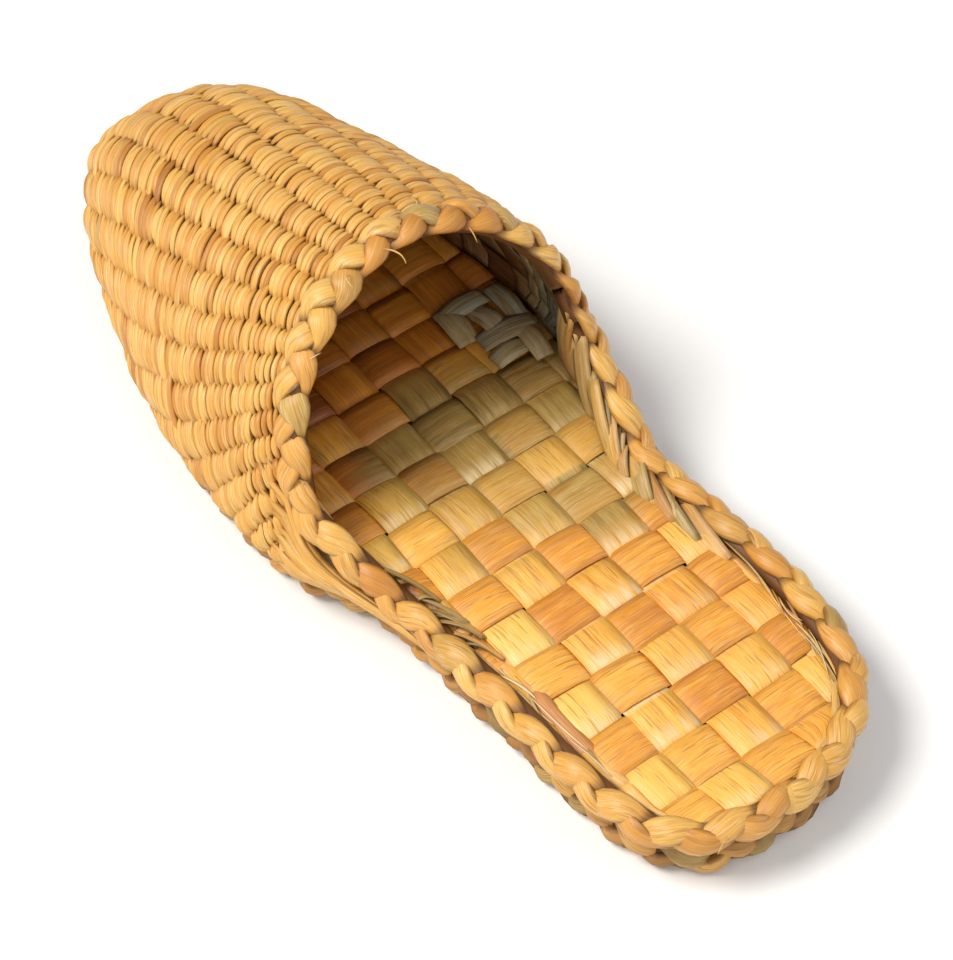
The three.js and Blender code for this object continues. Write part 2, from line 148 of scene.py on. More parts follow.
# Share of the way from the collar to the toe, where the row meets the sole, how far it leans
ROWS = np.array([
    (0, COLLAR_EDGE, COLLAR_TILT), (0.25, 0.545, 33), (0.5, 0.66, 45),
    (0.72, 0.76, 58), (0.88, 0.83, 73), (1, 0.88, 90),
])
row_base = column_curve(ROWS[:, 0], ROWS[:, 1])
row_lean = column_curve(ROWS[:, 0], ROWS[:, 2])


def smooth_step(value, low, high):
    u = np.clip((value - low) / (high - low), 0, 1)
    return u * u * (3 - 2 * u)


def to_share(y):
    return (y + HALF_LENGTH) / BODY_LENGTH


def to_station(share):
    return share * BODY_LENGTH - HALF_LENGTH


def middle_at(y):
    return middle_share(to_share(y)) * HALF_BALL


def half_at(y, grow):
    spread = squared_half(to_share(y / (1 + grow / HALF_LENGTH)))
    return (HALF_BALL + grow) * np.sqrt(np.maximum(spread, 0))


def underside(y):
    """How far the sole's underside is clear of the floor at a station."""
    share = to_share(y)
    toe = smooth_step(share, 0.82, 1) ** 2
    waist = np.minimum(smooth_step(share, 0.28, 0.41), 1 - smooth_step(share, 0.41, 0.54))
    return TOE_SPRING * toe + ARCH_RISE * waist


def skin_half(y, z):
    out = np.sin(np.pi / 2 * np.clip((z - SEAT) / WIDEST_RISE, 0, 1))
    wide = half_at(y, -SOLE_INSET + (BULGE + SOLE_INSET) * out)
    top = top_share(to_share(y)) * INSTEP_HEIGHT
    power = roundness(to_share(y))
    up = np.clip((z - WIDEST_LEVEL) / np.maximum(top - WIDEST_LEVEL, 1e-6), 0, 1)
    return wide * (1 - up**power) ** (1 / power) * (z < top)


def skin_middle(y, z):
    up = (z - SEAT) / (top_share(to_share(y)) * INSTEP_HEIGHT - SEAT)
    middle = middle_at(y)
    return middle + (CREST_LINE - middle) * np.clip(up, 0, 1)


def skin_reach(origin, direction):
    """How far rays go before they leave the upper's outer skin."""
    inside = np.zeros(np.broadcast_shapes(origin.shape, direction.shape)[:-1])
    outside = inside + HALF_LENGTH
    for _ in range(40):
        reach = (inside + outside) / 2
        p = origin + direction * reach[..., None]
        x, y, z = p[..., 0], p[..., 1], p[..., 2]
        within = np.abs(x - skin_middle(y, z)) < skin_half(y, z)
        inside = np.where(within, reach, inside)
        outside = np.where(within, outside, reach)
    return inside


def unit(vectors):
    return vectors / np.maximum(np.linalg.norm(vectors, axis=-1, keepdims=True), 1e-9)


def chain_lengths(chain):
    """How far each point of an open chain is from its start, along the chain."""
    return np.concatenate([[0], np.cumsum(np.linalg.norm(np.diff(chain, axis=0), axis=1))])


def directions(path):
    """The direction of a closed path at each of its points."""
    return unit(np.roll(path, -1, axis=0) - np.roll(path, 1, axis=0))


def left_of(along):
    """The level direction to the left of each direction."""
    return np.stack([-along[:, 1], along[:, 0], 0 * along[:, 0]], axis=1)


def resample(chain, shares):
    """Points along a chain at shares of its length."""
    lengths = chain_lengths(chain)
    goal = np.asarray(shares) * lengths[-1]
    return np.stack([np.interp(goal, lengths, chain[:, k]) for k in range(3)], axis=1)


def skin_row(base_y, lean_degrees, shares, steps=160):
    """One row of the skin, from the left edge over the top to the right edge."""
    lean = math.radians(lean_degrees)
    rise = np.array([0, math.sin(lean), math.cos(lean)])
    across = np.array([1.0, 0, 0])
    foot = np.array([float(middle_at(base_y)), base_y, SEAT + 1e-6])
    lift = 0.3 * float(skin_reach(foot[None], rise[None])[0])
    base_half = float(half_at(base_y, -SOLE_INSET))
    start = math.atan2(-lift, -base_half) + 2 * math.pi
    end = math.atan2(-lift, base_half)
    angles = np.linspace(start, end, steps + 1)
    rays = np.cos(angles)[:, None] * across + np.sin(angles)[:, None] * rise
    origin = foot + rise * lift
    chain = origin + rays * skin_reach(origin[None], rays)[:, None]
    chain[0] = (foot[0] - base_half, base_y, SEAT)
    chain[-1] = (foot[0] + base_half, base_y, SEAT)
    return resample(chain, shares)


def outline(count, drawn, inset):
    """A closed outline, counter-clockwise from the heel, drawn in and then moved inwards."""
    steps = 1200
    heel_end = -HALF_LENGTH * (1 - drawn / HALF_LENGTH)
    toe_end = to_station(1) * (1 - drawn / HALF_LENGTH)
    turn = 2 * np.pi * np.arange(steps) / steps
    y = heel_end + (toe_end - heel_end) * (1 - np.cos(turn)) / 2
    side = np.where(turn < np.pi, 1, -1)
    loop = np.stack([middle_at(y) + side * half_at(y, -drawn), y, 0 * y], axis=1)
    loop = np.vstack([loop, loop[:1]])
    points = resample(loop, np.arange(count) / count)
    return points + inset * left_of(directions(points))


class Skin:
    """The upper's outer skin as a fine grid, read at a share across and a share along.

    It starts a little before the collar, under the rim.
    """

    start = -0.045

    def __init__(self, rows=150, columns=260):
        shares = np.linspace(0, 1, columns + 1)
        along = np.linspace(self.start, 1, rows + 1)
        self.grid = np.array([
            skin_row(float(to_station(row_base(t) + 0.4 * min(t, 0))), float(row_lean(t)), shares)
            for t in along
        ])
        normal = np.cross(np.gradient(self.grid, axis=1), np.gradient(self.grid, axis=0))
        self.normals = unit(normal)

    def read(self, table, s, t):
        rows, columns = table.shape[0] - 1, table.shape[1] - 1
        c = np.clip(s, 0, 1) * columns
        r = np.clip((t - self.start) / (1 - self.start), 0, 1) * rows
        c0 = np.minimum(c.astype(int), columns - 1)
        r0 = np.minimum(r.astype(int), rows - 1)
        u, v = (c - c0)[..., None], (r - r0)[..., None]
        low = table[r0, c0] * (1 - u) + table[r0, c0 + 1] * u
        high = table[r0 + 1, c0] * (1 - u) + table[r0 + 1, c0 + 1] * u
        return low * (1 - v) + high * v

    def point(self, s, t):
        return self.read(self.grid, s, t)

    def normal(self, s, t):
        return unit(self.read(self.normals, s, t))


def rib_share(place, t):
    """Where a rib's edge lies across the upper, counted from the rib line near the crest.

    The ribs run side by side to the toe, so they take up more of the narrower rows there, and
    the outer ones end at the sole.
    """
    return RIB_LINE + place * (RIB_SHARE + RIB_SPREAD * t)


# ---------------------------------------------------------------- straws as meshes


def deselect_all():
    if bpy.context.object and bpy.context.object.mode != "OBJECT":
        bpy.ops.object.mode_set(mode="OBJECT")
    bpy.ops.object.select_all(action="DESELECT")


class Blank:
    """One straw shape, kept as arrays: its points run from 0 to 1 along, -1 to 1 across and up."""

    def __init__(self, thing):
        mesh = thing.data
        count = len(mesh.vertices)
        self.points = np.empty(count * 3)
        mesh.vertices.foreach_get("co", self.points)
        self.points = self.points.reshape(-1, 3)
        # An extrusion numbers its faces differently from run to run, so they are put in order
        faces = sorted((tuple(face.vertices) for face in mesh.polygons), key=sorted)
        self.loops = np.array([corner for face in faces for corner in face])
        self.totals = np.array([len(face) for face in faces])
        bpy.data.objects.remove(thing)
        bpy.data.meshes.remove(mesh)
        self.lane = self.points[:, 1]

    def measure_round(self):
        """On a round straw the lane goes from 0 on top to 1 at its sides."""
        reach = np.maximum(np.hypot(self.points[:, 1], self.points[:, 2]), 1e-6)
        self.lane = self.points[:, 1] / reach
        return self


def grain_blank(sides, swell):
    """A single straw: a ring drawn out along X, full in the middle and pointed at its ends."""
    deselect_all()
    bpy.ops.mesh.primitive_circle_add(
        vertices=sides, radius=swell[0], fill_type="NGON", rotation=(0, math.pi / 2, 0)
    )
    bpy.ops.object.transform_apply(location=False, rotation=True, scale=False)
    bpy.ops.object.mode_set(mode="EDIT")
    bpy.ops.mesh.select_all(action="SELECT")
    step = 1 / (len(swell) - 1)
    for before, after in zip(swell, swell[1:]):
        bpy.ops.mesh.extrude_region_move(TRANSFORM_OT_translate={"value": (step, 0, 0)})
        ratio = after / before
        bpy.ops.transform.resize(value=(1, ratio, ratio))
    bpy.ops.mesh.select_all(action="SELECT")
    bpy.ops.mesh.normals_make_consistent(inside=False)
    bpy.ops.object.mode_set(mode="OBJECT")
    return Blank(bpy.context.object).measure_round()


def strip_blank(steps, lanes):
    """A flat strip of split straw: a grid with a thickness, its long edges rounded off."""
    deselect_all()
    bpy.ops.mesh.primitive_grid_add(x_subdivisions=steps, y_subdivisions=lanes, size=2)
    strip = bpy.context.object
    solid = strip.modifiers.new("thickness", "SOLIDIFY")
    solid.thickness = 2
    solid.offset = 0
    bpy.ops.object.modifier_apply(modifier=solid.name)
    blank = Blank(strip)
    edge = np.abs(blank.points[:, 1])
    blank.points[:, 2] *= 1 - 0.5 * smooth_step(edge, 0.7, 1.0)
    blank.points[:, 0] = (blank.points[:, 0] + 1) / 2
    return blank


def ring_blank(steps, sides):
    """A strand that runs round and closes on itself, from a torus that is unrolled."""
    deselect_all()
    bpy.ops.mesh.primitive_torus_add(
        major_segments=steps, minor_segments=sides, major_radius=2, minor_radius=1
    )
    blank = Blank(bpy.context.object)
    x, y, z = blank.points.T
    round_turn = np.arctan2(y, x) / (2 * np.pi) % 1
    round_turn[round_turn > 1 - 0.25 / steps] = 0
    blank.points = np.stack([round_turn, np.hypot(x, y) - 2, z], axis=1)
    return blank.measure_round()


class Bundle:
    """Straws gathered into one mesh, each point with its grain, its tone and the painted shade
    where it lies low.
    """

    def __init__(self):
        self.points, self.loops, self.totals = [], [], []
        self.grain, self.tint, self.lane = [], [], []
        self.count = 0

    def add(self, blank, points, along, across, seed, tone, hollow, age, cool=0.0, bleached=0.0):
        """Adds copies of a blank. Points and the other tables have one row for each copy."""
        copies, size = points.shape[:2]
        offsets = self.count + np.arange(copies) * size
        self.points.append(points.reshape(-1, 3))
        self.loops.append((blank.loops[None] + offsets[:, None]).ravel())
        self.totals.append(np.tile(blank.totals, copies))
        shape = (copies, size)
        grain = [np.broadcast_to(table, shape) for table in (along, across, seed)]
        # The tint's second value is painted shade; the lane's third is a painted glint, partly also
        # bleaching.
        tint = [np.broadcast_to(table, shape) for table in (tone, hollow, age)]
        self.grain.append(np.stack(grain, axis=-1).reshape(-1, 3))
        self.tint.append(np.stack(tint, axis=-1).reshape(-1, 3))
        lane = [np.broadcast_to(table, shape) for table in (blank.lane, cool, bleached)]
        self.lane.append(np.stack(lane, axis=-1).reshape(-1, 3))
        self.count += copies * size

    def add_one(self, blank, points, **tables):
        """Adds one straw, with one value a point or one for all of them in each table."""
        tables = {name: np.asarray(table)[None] for name, table in tables.items()}
        self.add(blank, points[None], **tables)

    def build(self, name):
        points = np.concatenate(self.points) * MM
        loops = np.concatenate(self.loops)
        totals = np.concatenate(self.totals)
        mesh = bpy.data.meshes.new(name)
        mesh.vertices.add(len(points))
        mesh.vertices.foreach_set("co", points.ravel())
        mesh.loops.add(len(loops))
        mesh.loops.foreach_set("vertex_index", loops)
        mesh.polygons.add(len(totals))
        starts = np.concatenate([[0], np.cumsum(totals)[:-1]])
        mesh.polygons.foreach_set("loop_start", starts)
        mesh.polygons.foreach_set("loop_total", totals)
        mesh.polygons.foreach_set("use_smooth", np.full(len(totals), True))
        mesh.update(calc_edges=True)
        tables = (("grain", self.grain), ("tint", self.tint), ("lane", self.lane))
        for label, table in tables:
            values = np.concatenate(table)
            attribute = mesh.attributes.new(label, "FLOAT_VECTOR", "POINT")
            attribute.data.foreach_set("vector", values.ravel())
        mesh.validate()
        thing = bpy.data.objects.new(name, mesh)
        bpy.context.scene.collection.objects.link(thing)
        return thing


def face_out(thing):
    """Turns the faces of a mesh of closed shells outwards."""
    deselect_all()
    bpy.context.view_layer.objects.active = thing
    thing.select_set(True)
    bpy.ops.object.mode_set(mode="EDIT")
    bpy.ops.mesh.select_all(action="SELECT")
    bpy.ops.mesh.normals_make_consistent(inside=False)
    bpy.ops.object.mode_set(mode="OBJECT")
    deselect_all()


def finish_piece(bundle, name, node, material):
    thing = bundle.build(name)
    face_out(thing)
    thing.data.materials.append(material)
    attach(thing, "root")
    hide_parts(node)


def sheet_faces(rows, columns):
    """Quads of a closed sheet that has an outer and an inner layer of a grid of points."""
    width = columns + 1
    layer = width * (rows + 1)
    r, c = np.meshgrid(np.arange(rows), np.arange(columns), indexing="ij")
    a = (r * width + c).ravel()
    top = np.stack([a, a + 1, a + width + 1, a + width], axis=1)
    low = top[:, ::-1] + layer
    border = np.concatenate([
        np.arange(columns), np.arange(rows) * width + columns,
        rows * width + np.arange(columns, 0, -1), np.arange(rows, 0, -1) * width,
    ])
    after = np.roll(border, -1)
    edge = np.stack([border, border + layer, after + layer, after], axis=1)
    return np.concatenate([top, low, edge])


class Sheet:
    """Stands where a blank does, for a sheet whose points are given in place."""

    def __init__(self, faces):
        self.loops = faces.ravel()
        self.totals = np.full(len(faces), faces.shape[1])
        self.lane = 0.0


# ---------------------------------------------------------------- braids


def smooth_loop(points, count, passes=0):
    """A closed path of evenly spaced points, softened by a number of passes."""
    closed = np.vstack([points, points[:1]])
    path = resample(closed, np.arange(count) / count)
    for _ in range(passes):
        path = (np.roll(path, 1, axis=0) + 2 * path + np.roll(path, -1, axis=0)) / 4
    return path


def add_braid(bundle, path, side, face, sway, dive, width, thick, pitch, rng, tones,
              sides=10, wrap=None, floor=None, age=0.0, unripe=0.2, skew=0.1):
    """Lays three strands over each other in turn round a closed path.

    Path, side and face have one row a point. Sway is a strand's swing to the sides, dive its
    swing through the braid, and pitch the distance between two lumps on one edge, by the point.
    Wrap bends the braid round an axis: how far out the strands lie, the way round for each
    millimetre to the side, and how far the axis is behind the path. Skew makes a lump wider
    where it comes out than where it dives.
    """
    lengths = chain_lengths(np.vstack([path, path[:1]]))
    total = lengths[-1]
    count = len(path)
    pitch = np.broadcast_to(np.asarray(pitch, float), (count,))
    phase = np.concatenate([[0], np.cumsum(np.diff(lengths) / (3 * pitch))])
    turns = max(round(phase[-1]), 3)
    phase = phase * turns / phase[-1]
    blank = ring_blank(count, sides)
    place = blank.points[:, 0]
    knots = np.arange(count + 1) / count
    shares = lengths / total

    def read(table, u):
        closed = np.vstack([table, table[:1]])
        return np.stack([np.interp(u % 1, knots, closed[:, k]) for k in range(3)], axis=-1)

    def scale(value, u):
        value = np.broadcast_to(np.asarray(value, float), (count,))
        return np.interp(u % 1, knots, np.append(value, value[0]))

    for strand in range(3):
        def turn(u):
            whole = np.floor(u)
            return np.interp(u - whole, knots, phase) + whole * turns + strand / 3

        wobble = rng.uniform(0, 6, 3)

        def sideways(u):
            drift = 0.22 * np.sin(46 * u + wobble[0]) + 0.18 * np.sin(107 * u + wobble[1])
            return scale(sway, u) * np.sin(2 * np.pi * turn(u)) + drift

        angle = 2 * np.pi * turn(place)
        front = 0.5 - 0.5 * np.sin(2 * angle)
        lump = np.floor(2 * turn(place) - 0.25).astype(int) % (2 * turns)
        own = rng.uniform(0, 1, (2 * turns, 4))[lump]
        small = 0.5 / count
        run = np.interp(place, knots, lengths)
        ahead = np.interp(place + small, knots, lengths) - np.interp(place - small, knots, lengths)
        swing = sideways(place + small) - sideways(place - small)
        ahead = np.where((place < small) | (place > 1 - small), np.max(ahead), ahead)
        slant = np.arctan2(swing, ahead)
        lane = blank.points[:, 1]
        swell = (0.62 + 0.38 * front) * (1 + scale(skew, place) * np.cos(2 * angle))
        reach = lane * 0.5 * scale(width, place) * (0.84 + 0.3 * own[:, 0]) * swell
        height = blank.points[:, 2] * 0.5 * scale(thick, place) * (0.8 + 0.35 * own[:, 1])
        fold = scale(thick, place) * (own[:, 2] * 0.24 - 0.05) * np.abs(lane) ** 1.5
        lean = 0.2 * scale(thick, place) * np.cos(angle) * lane
        a = sideways(place) + reach * np.cos(slant)
        b = scale(dive, place) * (2 * front - 1) + height - fold + lean
        u = np.interp((run - reach * np.sin(slant)) % total / total, shares, knots)
        if wrap is None:
            outward, round_it = b, a
        else:
            radius, bend, back = (scale(value, place) for value in wrap)
            outward = (radius + b) * np.cos(a * bend) - back
            round_it = (radius + b) * np.sin(a * bend)
        points = (
            read(path, u) + read(side, u) * round_it[:, None] + read(face, u) * outward[:, None]
        )
        if floor is not None:
            points[:, 2] = np.maximum(points[:, 2], floor(points))
        low, high = tones
        bundle.add_one(
            blank,
            points,
            along=run,
            across=reach + 0.35 * height,
            seed=strand + own[:, 2] * 9,
            tone=low + (high - low) * own[:, 3],
            # Painted shade where the strand dives behind the other two.
            hollow=smooth_step(1 - front, 0.3, 1.0) * 0.85,
            age=age,
            cool=smooth_step(own[:, 0], 0.9 - unripe, 1.0) * 0.7,
        )


def add_core(bundle, path, radius, sides=8):
    """A cord inside a braid, dark with painted shade, which closes the view between its strands."""
    blank = ring_blank(len(path), sides)
    place = np.round(blank.points[:, 0] * len(path)).astype(int) % len(path)
    tangent = directions(path)
    up = np.tile((0.0, 0.0, 1.0), (len(path), 1))
    turned = np.abs(tangent[:, 2]) > 0.9
    up[turned] = (0, 1, 0)
    across = unit(np.cross(up, tangent))
    up = np.cross(tangent, across)
    points = (
        path[place]
        + across[place] * (radius * blank.points[:, 1])[:, None]
        + up[place] * (radius * blank.points[:, 2])[:, None]
    )
    across = blank.points[:, 1]
    bundle.add_one(
        blank, points, along=0, across=across, seed=3.0, tone=0.7, hollow=0.8, age=0.5
    )


def add_curtain(bundle, path, out, top):
    """Closes the view between the sole and the rim, up to a level."""
    low = np.flatnonzero(path[:, 2] < top)
    split = int(np.argmax(np.diff(low))) + 1 if np.diff(low).max() > 1 else 0
    low = np.roll(low, -split)
    flat = out[low] * (1, 1, 0)
    flat = unit(flat) * 0.9
    ends = path[low]
    foot = ends * (1, 1, 0) + (0, 0, SEAT)
    outer = np.stack([foot + flat, ends + flat])
    inner = np.stack([foot - flat, ends - flat])
    points = np.concatenate([outer.reshape(-1, 3), inner.reshape(-1, 3)])
    faces = sheet_faces(1, len(low) - 1)
    # A slight painted shade on the sheet.
    bundle.add_one(
        Sheet(faces), points, along=points[:, 2] * 2, across=points[:, 1], seed=4.0, tone=0.2,
        hollow=0.2, age=0.6, cool=0.6,
    )


def rim_path():
    """The rim's middle line with its outward and sideways directions."""
    collar_y = COLLAR_STATION - HALF_LENGTH
    collar = skin_row(COLLAR_FOOT - HALF_LENGTH, COLLAR_TILT, np.linspace(0, 1, 41))
    arch = collar[collar[:, 2] > RIM_LEVEL + RIM_WIDTH]
    hub = np.array([float(middle_at(collar_y)), collar_y, RIM_LEVEL])
    arch = arch + unit(hub - arch) * RIM_INSET
    sides = outline(90, 0, RIM_EDGE + RIM_DEPTH / 2)
    sides = sides[sides[:, 1] < collar_y - RIM_TURN]
    sides[:, 2] = RIM_LEVEL
    middle = middle_at(sides[:, 1])
    left = sides[sides[:, 0] < middle]
    right = sides[sides[:, 0] >= middle]
    left = left[np.argsort(left[:, 1])]
    right = right[np.argsort(-right[:, 1])]
    path = smooth_loop(np.vstack([left, arch, right]), 720, passes=70)
    along = directions(path)
    hub_y = np.maximum(path[:, 1], to_station(0.15))
    hubs = np.stack([middle_at(hub_y), hub_y, np.full(len(path), SEAT + RIM_HEIGHT * 0.4)], axis=1)
    out = path - hubs
    out = unit(out - along * np.sum(out * along, axis=1)[:, None])
    across = np.cross(along, out)
    climbed = smooth_step(path[:, 2], RIM_LEVEL, RIM_LEVEL + 2.5 * RIM_WIDTH)
    return path, out, across, climbed


# ---------------------------------------------------------------- shading


class Wire:
    """A shader socket that Python's operators work on."""

    def __init__(self, shade, socket):
        self.shade, self.socket = shade, socket

    def _do(self, operation, first, second):
        return self.shade.math(operation, first, second)

    def __add__(self, other):
        return self._do("ADD", self, other)

    __radd__ = __add__

    def __mul__(self, other):
        return self._do("MULTIPLY", self, other)

    __rmul__ = __mul__

    def __sub__(self, other):
        return self._do("SUBTRACT", self, other)

    def __rsub__(self, other):
        return self._do("SUBTRACT", other, self)

    def __truediv__(self, other):
        return self._do("DIVIDE", self, other)

    def __pow__(self, other):
        return self._do("POWER", self, other)


class Shade:
    """Builds one material's nodes."""

    def __init__(self, name):
        self.material = bpy.data.materials.new(name)
        self.material.use_nodes = True
        self.tree = self.material.node_tree
        self.tree.nodes.clear()

    def node(self, kind, settings=None, values=None, out=0):
        """A node of a type, with its settings first and then its sockets' values or links."""
        made = self.tree.nodes.new(kind)
        for key, value in (settings or {}).items():
            if key == "stops":
                ramp = made.color_ramp
                while len(ramp.elements) < len(value):
                    ramp.elements.new(0.5)
                for element, (place, colour) in zip(ramp.elements, value):
                    element.position = place
                    element.color = (*colour, 1) if len(colour) == 3 else colour
            else:
                setattr(made, key, value)
        for key, value in (values or {}).items():
            socket = made.inputs[key]
            if isinstance(value, Wire):
                self.tree.links.new(value.socket, socket)
            else:
                socket.default_value = value
        return Wire(self, made.outputs[out]) if len(made.outputs) else None

    def math(self, operation, first, second=0.0, clamp=False):
        return self.node(
            "ShaderNodeMath", {"operation": operation, "use_clamp": clamp}, {0: first, 1: second}
        )

    def between(self, value, low, high):
        """Rises smoothly from 0 to 1 as the value goes from low to high."""
        return self.node(
            "ShaderNodeMapRange",
            {"interpolation_type": "SMOOTHSTEP"},
            {"Value": value, "From Min": low, "From Max": high},
        )

    def mix(self, factor, first, second, blend="MIX"):
        def colour(value):
            return value if isinstance(value, Wire) else (*value, 1)

        return self.node(
            "ShaderNodeMix",
            {"data_type": "RGBA", "blend_type": blend},
            {0: factor, 6: colour(first), 7: colour(second)},
            out=2,
        )

    def vector(self, x, y, z):
        return self.node("ShaderNodeCombineXYZ", None, {0: x, 1: y, 2: z})

    def noise(self, vector, scale=1.0, detail=2.0, rough=0.5):
        return self.node(
            "ShaderNodeTexNoise",
            None,
            {"Vector": vector, "Scale": scale, "Detail": detail, "Roughness": rough},
        )

    def parts(self, name):
        """The three numbers of one of the mesh's own attributes."""
        vector = self.node("ShaderNodeAttribute", {"attribute_name": name}, out=1)
        split = self.tree.nodes.new("ShaderNodeSeparateXYZ")
        self.tree.links.new(vector.socket, split.inputs[0])
        return [Wire(self, socket) for socket in split.outputs]

    def surface(self, colour, roughness, bump, strength, distance, settings):
        normal = self.node(
            "ShaderNodeBump", None, {"Height": bump, "Strength": strength, "Distance": distance}
        )
        values = {"Base Color": colour, "Roughness": roughness, "Normal": normal}
        values.update(settings)
        shader = self.node("ShaderNodeBsdfPrincipled", None, values)
        self.node("ShaderNodeOutputMaterial", None, {"Surface": shader})
        return self.material


def straw_material(name, stops, dark, stain, fibre, wear_and_glint, gloss, stain_amount, fibre_amount,
                   edge_shade=0.0, cool=(0.38, 0.28, 0.075)):
    """Split straw: tones from straw to straw, long fibres, painted shade in low places and along
    the sides, stains, and rubbed crests with painted highlights and glints.
    """
    s = Shade(name)
    along, across, seed = s.parts("grain")
    tone, hollow, age = s.parts("tint")
    lane, cooled, bleached = s.parts("lane")
    place = s.node("ShaderNodeTexCoord", out=3)
    broad = s.noise(s.vector(along * 0.035, across * 0.75, seed * 7.3), detail=3.0)
    fine = s.noise(s.vector(along * 0.09, across * 3.4, seed * 3.1), detail=3.0, rough=0.6)
    hair = s.noise(s.vector(along * 0.22, across * 9.0, seed * 1.7), detail=1.0)
    patch = s.noise(place, scale=34.0, detail=3.0)
    cloud = s.noise(place, scale=14.0, detail=2.0)
    shade = tone + (broad - 0.5) * 0.55 + (fine - 0.5) * 0.35 + (patch - 0.5) * 0.3
    colour = s.node("ShaderNodeValToRGB", {"stops": stops}, {0: shade})
    cooler = s.between(cooled + (patch - 0.5) * 0.7 + (broad - 0.5) * 0.4, 0.2, 0.9) * 0.8
    unripe = s.mix(s.between(broad + (patch - 0.5) * 0.6, 0.35, 0.65), (0.12, 0.095, 0.03), cool)
    colour = s.mix(cooler, colour, unripe)
    streak = s.noise(s.vector(along * 0.11, across * 2.1, seed * 5.1), detail=2.0)
    lines = s.between(fine, 0.54, 0.68) * s.between(broad, 0.4, 0.6)
    lines = s.math("MAXIMUM", lines, s.between(streak, 0.575, 0.66)) * fibre_amount
    colour = s.mix(lines, colour, fibre)
    # Pale hairs on the crests, away from the painted shade: partly wear, partly painted highlight.
    wear_and_highlight = s.between(hair, 0.5, 0.75) * (1 - hollow) * (1 - s.between(shade, 0.45, 0.95)) * 0.4
    colour = s.mix(wear_and_highlight, colour, wear_and_glint)
    # Painted glints in streaks, partly also bleaching, in the same pale colour.
    colour = s.mix(bleached * s.between(broad + (hair - 0.5) * 0.5, 0.3, 0.62), colour, wear_and_glint)
    stained = s.between(cloud + (age - 0.5) * 0.9, 0.52, 0.78) * stain_amount
    colour = s.mix(stained, colour, stain, "MULTIPLY")
    # Painted shade along a straw's sides, where it turns under its neighbours, in the dark colour.
    if edge_shade:
        sides = s.between(s.math("ABSOLUTE", lane), 0.7, 1.0)
        colour = s.mix(sides * edge_shade, colour, dark, "MULTIPLY")
    # Painted shade in the dark colour where a straw lies low or dives under others.
    colour = s.mix(s.between(hollow, 0.15, 0.95) * 0.95, colour, dark, "MULTIPLY")
    roughness = gloss + (fine - 0.5) * 0.25 + hollow * 0.2
    height = fine * 0.6 + broad * 0.5 + hair * 0.35
    coat = {"Coat Weight": 0.08, "Coat Roughness": 0.3}
    return s.surface(colour, roughness, height, 0.55, 0.0004, coat)


# ---------------------------------------------------------------- settings


def length_setting(name, description, default):
    return FloatProperty(name=name, description=description, default=default, unit="LENGTH")


def colour_setting(name, description, default):
    return FloatVectorProperty(name=name, description=description, subtype="COLOR", default=default)


class SlipperSizes(bpy.types.PropertyGroup):
    row_count: IntProperty(
        name="Rows", description="Twined rows from collar to toe", default=70, min=30, max=90
    )
    strip_width: length_setting("Strip width", "One plaited strip of the insole", 0.012)
    side_pitch: length_setting("Rim lump, sides", "One lump of the rim along the sides", 0.0138)
    heel_pitch: length_setting("Rim lump, heel", "One lump of the rim round the heel", 0.0115)
    collar_pitch: length_setting("Rim lump, collar", "One lump of the rim over the collar", 0.0102)
    sole_pitch: length_setting("Sole lump", "One lump of the sole's edge", 0.0105)


class SlipperColours(bpy.types.PropertyGroup):
    pale: colour_setting("Pale straw", "The lightest straw", (0.74, 0.432, 0.089))
    gold: colour_setting("Gold straw", "Most of the straw", (0.645, 0.30, 0.037))
    ochre: colour_setting("Ochre straw", "The darker strips", (0.47, 0.18, 0.021))
    olive: colour_setting("Green straw", "Stained and unripe straw", (0.33, 0.27, 0.11))


def blend_colour(a, b, share):
    return tuple(float(x * (1 - share) + y * share) for x, y in zip(a, b))


# ---------------------------------------------------------------- the pieces

SKIN = {}


def skin():
    if "skin" not in SKIN:
        SKIN["skin"] = Skin()
    return SKIN["skin"]


def add_wall(bundle):
    """The wall that carries the stitches, dark with painted shade where it shows between them, open
    at the collar and underneath.
    """
    surface = skin()
    columns, rows = 72, 60
    s, t = np.meshgrid(np.linspace(0, 1, columns + 1), np.linspace(Skin.start, 1, rows + 1))
    p, n = surface.point(s, t), surface.normal(s, t)
    outer = p - n * WALL_DEPTH
    inner = p - n * (WALL - 0.15)
    for sheet in (outer, inner):
        sheet[..., 2] = np.maximum(sheet[..., 2], SEAT)
        sheet[:, (0, -1), 2] = SEAT
        sheet[-1, :, 2] = SEAT
    points = np.concatenate([outer.reshape(-1, 3), inner.reshape(-1, 3)])
    faces = sheet_faces(rows, columns)
    bundle.add_one(
        Sheet(faces), points, along=points[:, 1], across=points[:, 0], seed=1.0, tone=0.35,
        hollow=0.62, age=0.3,
    )


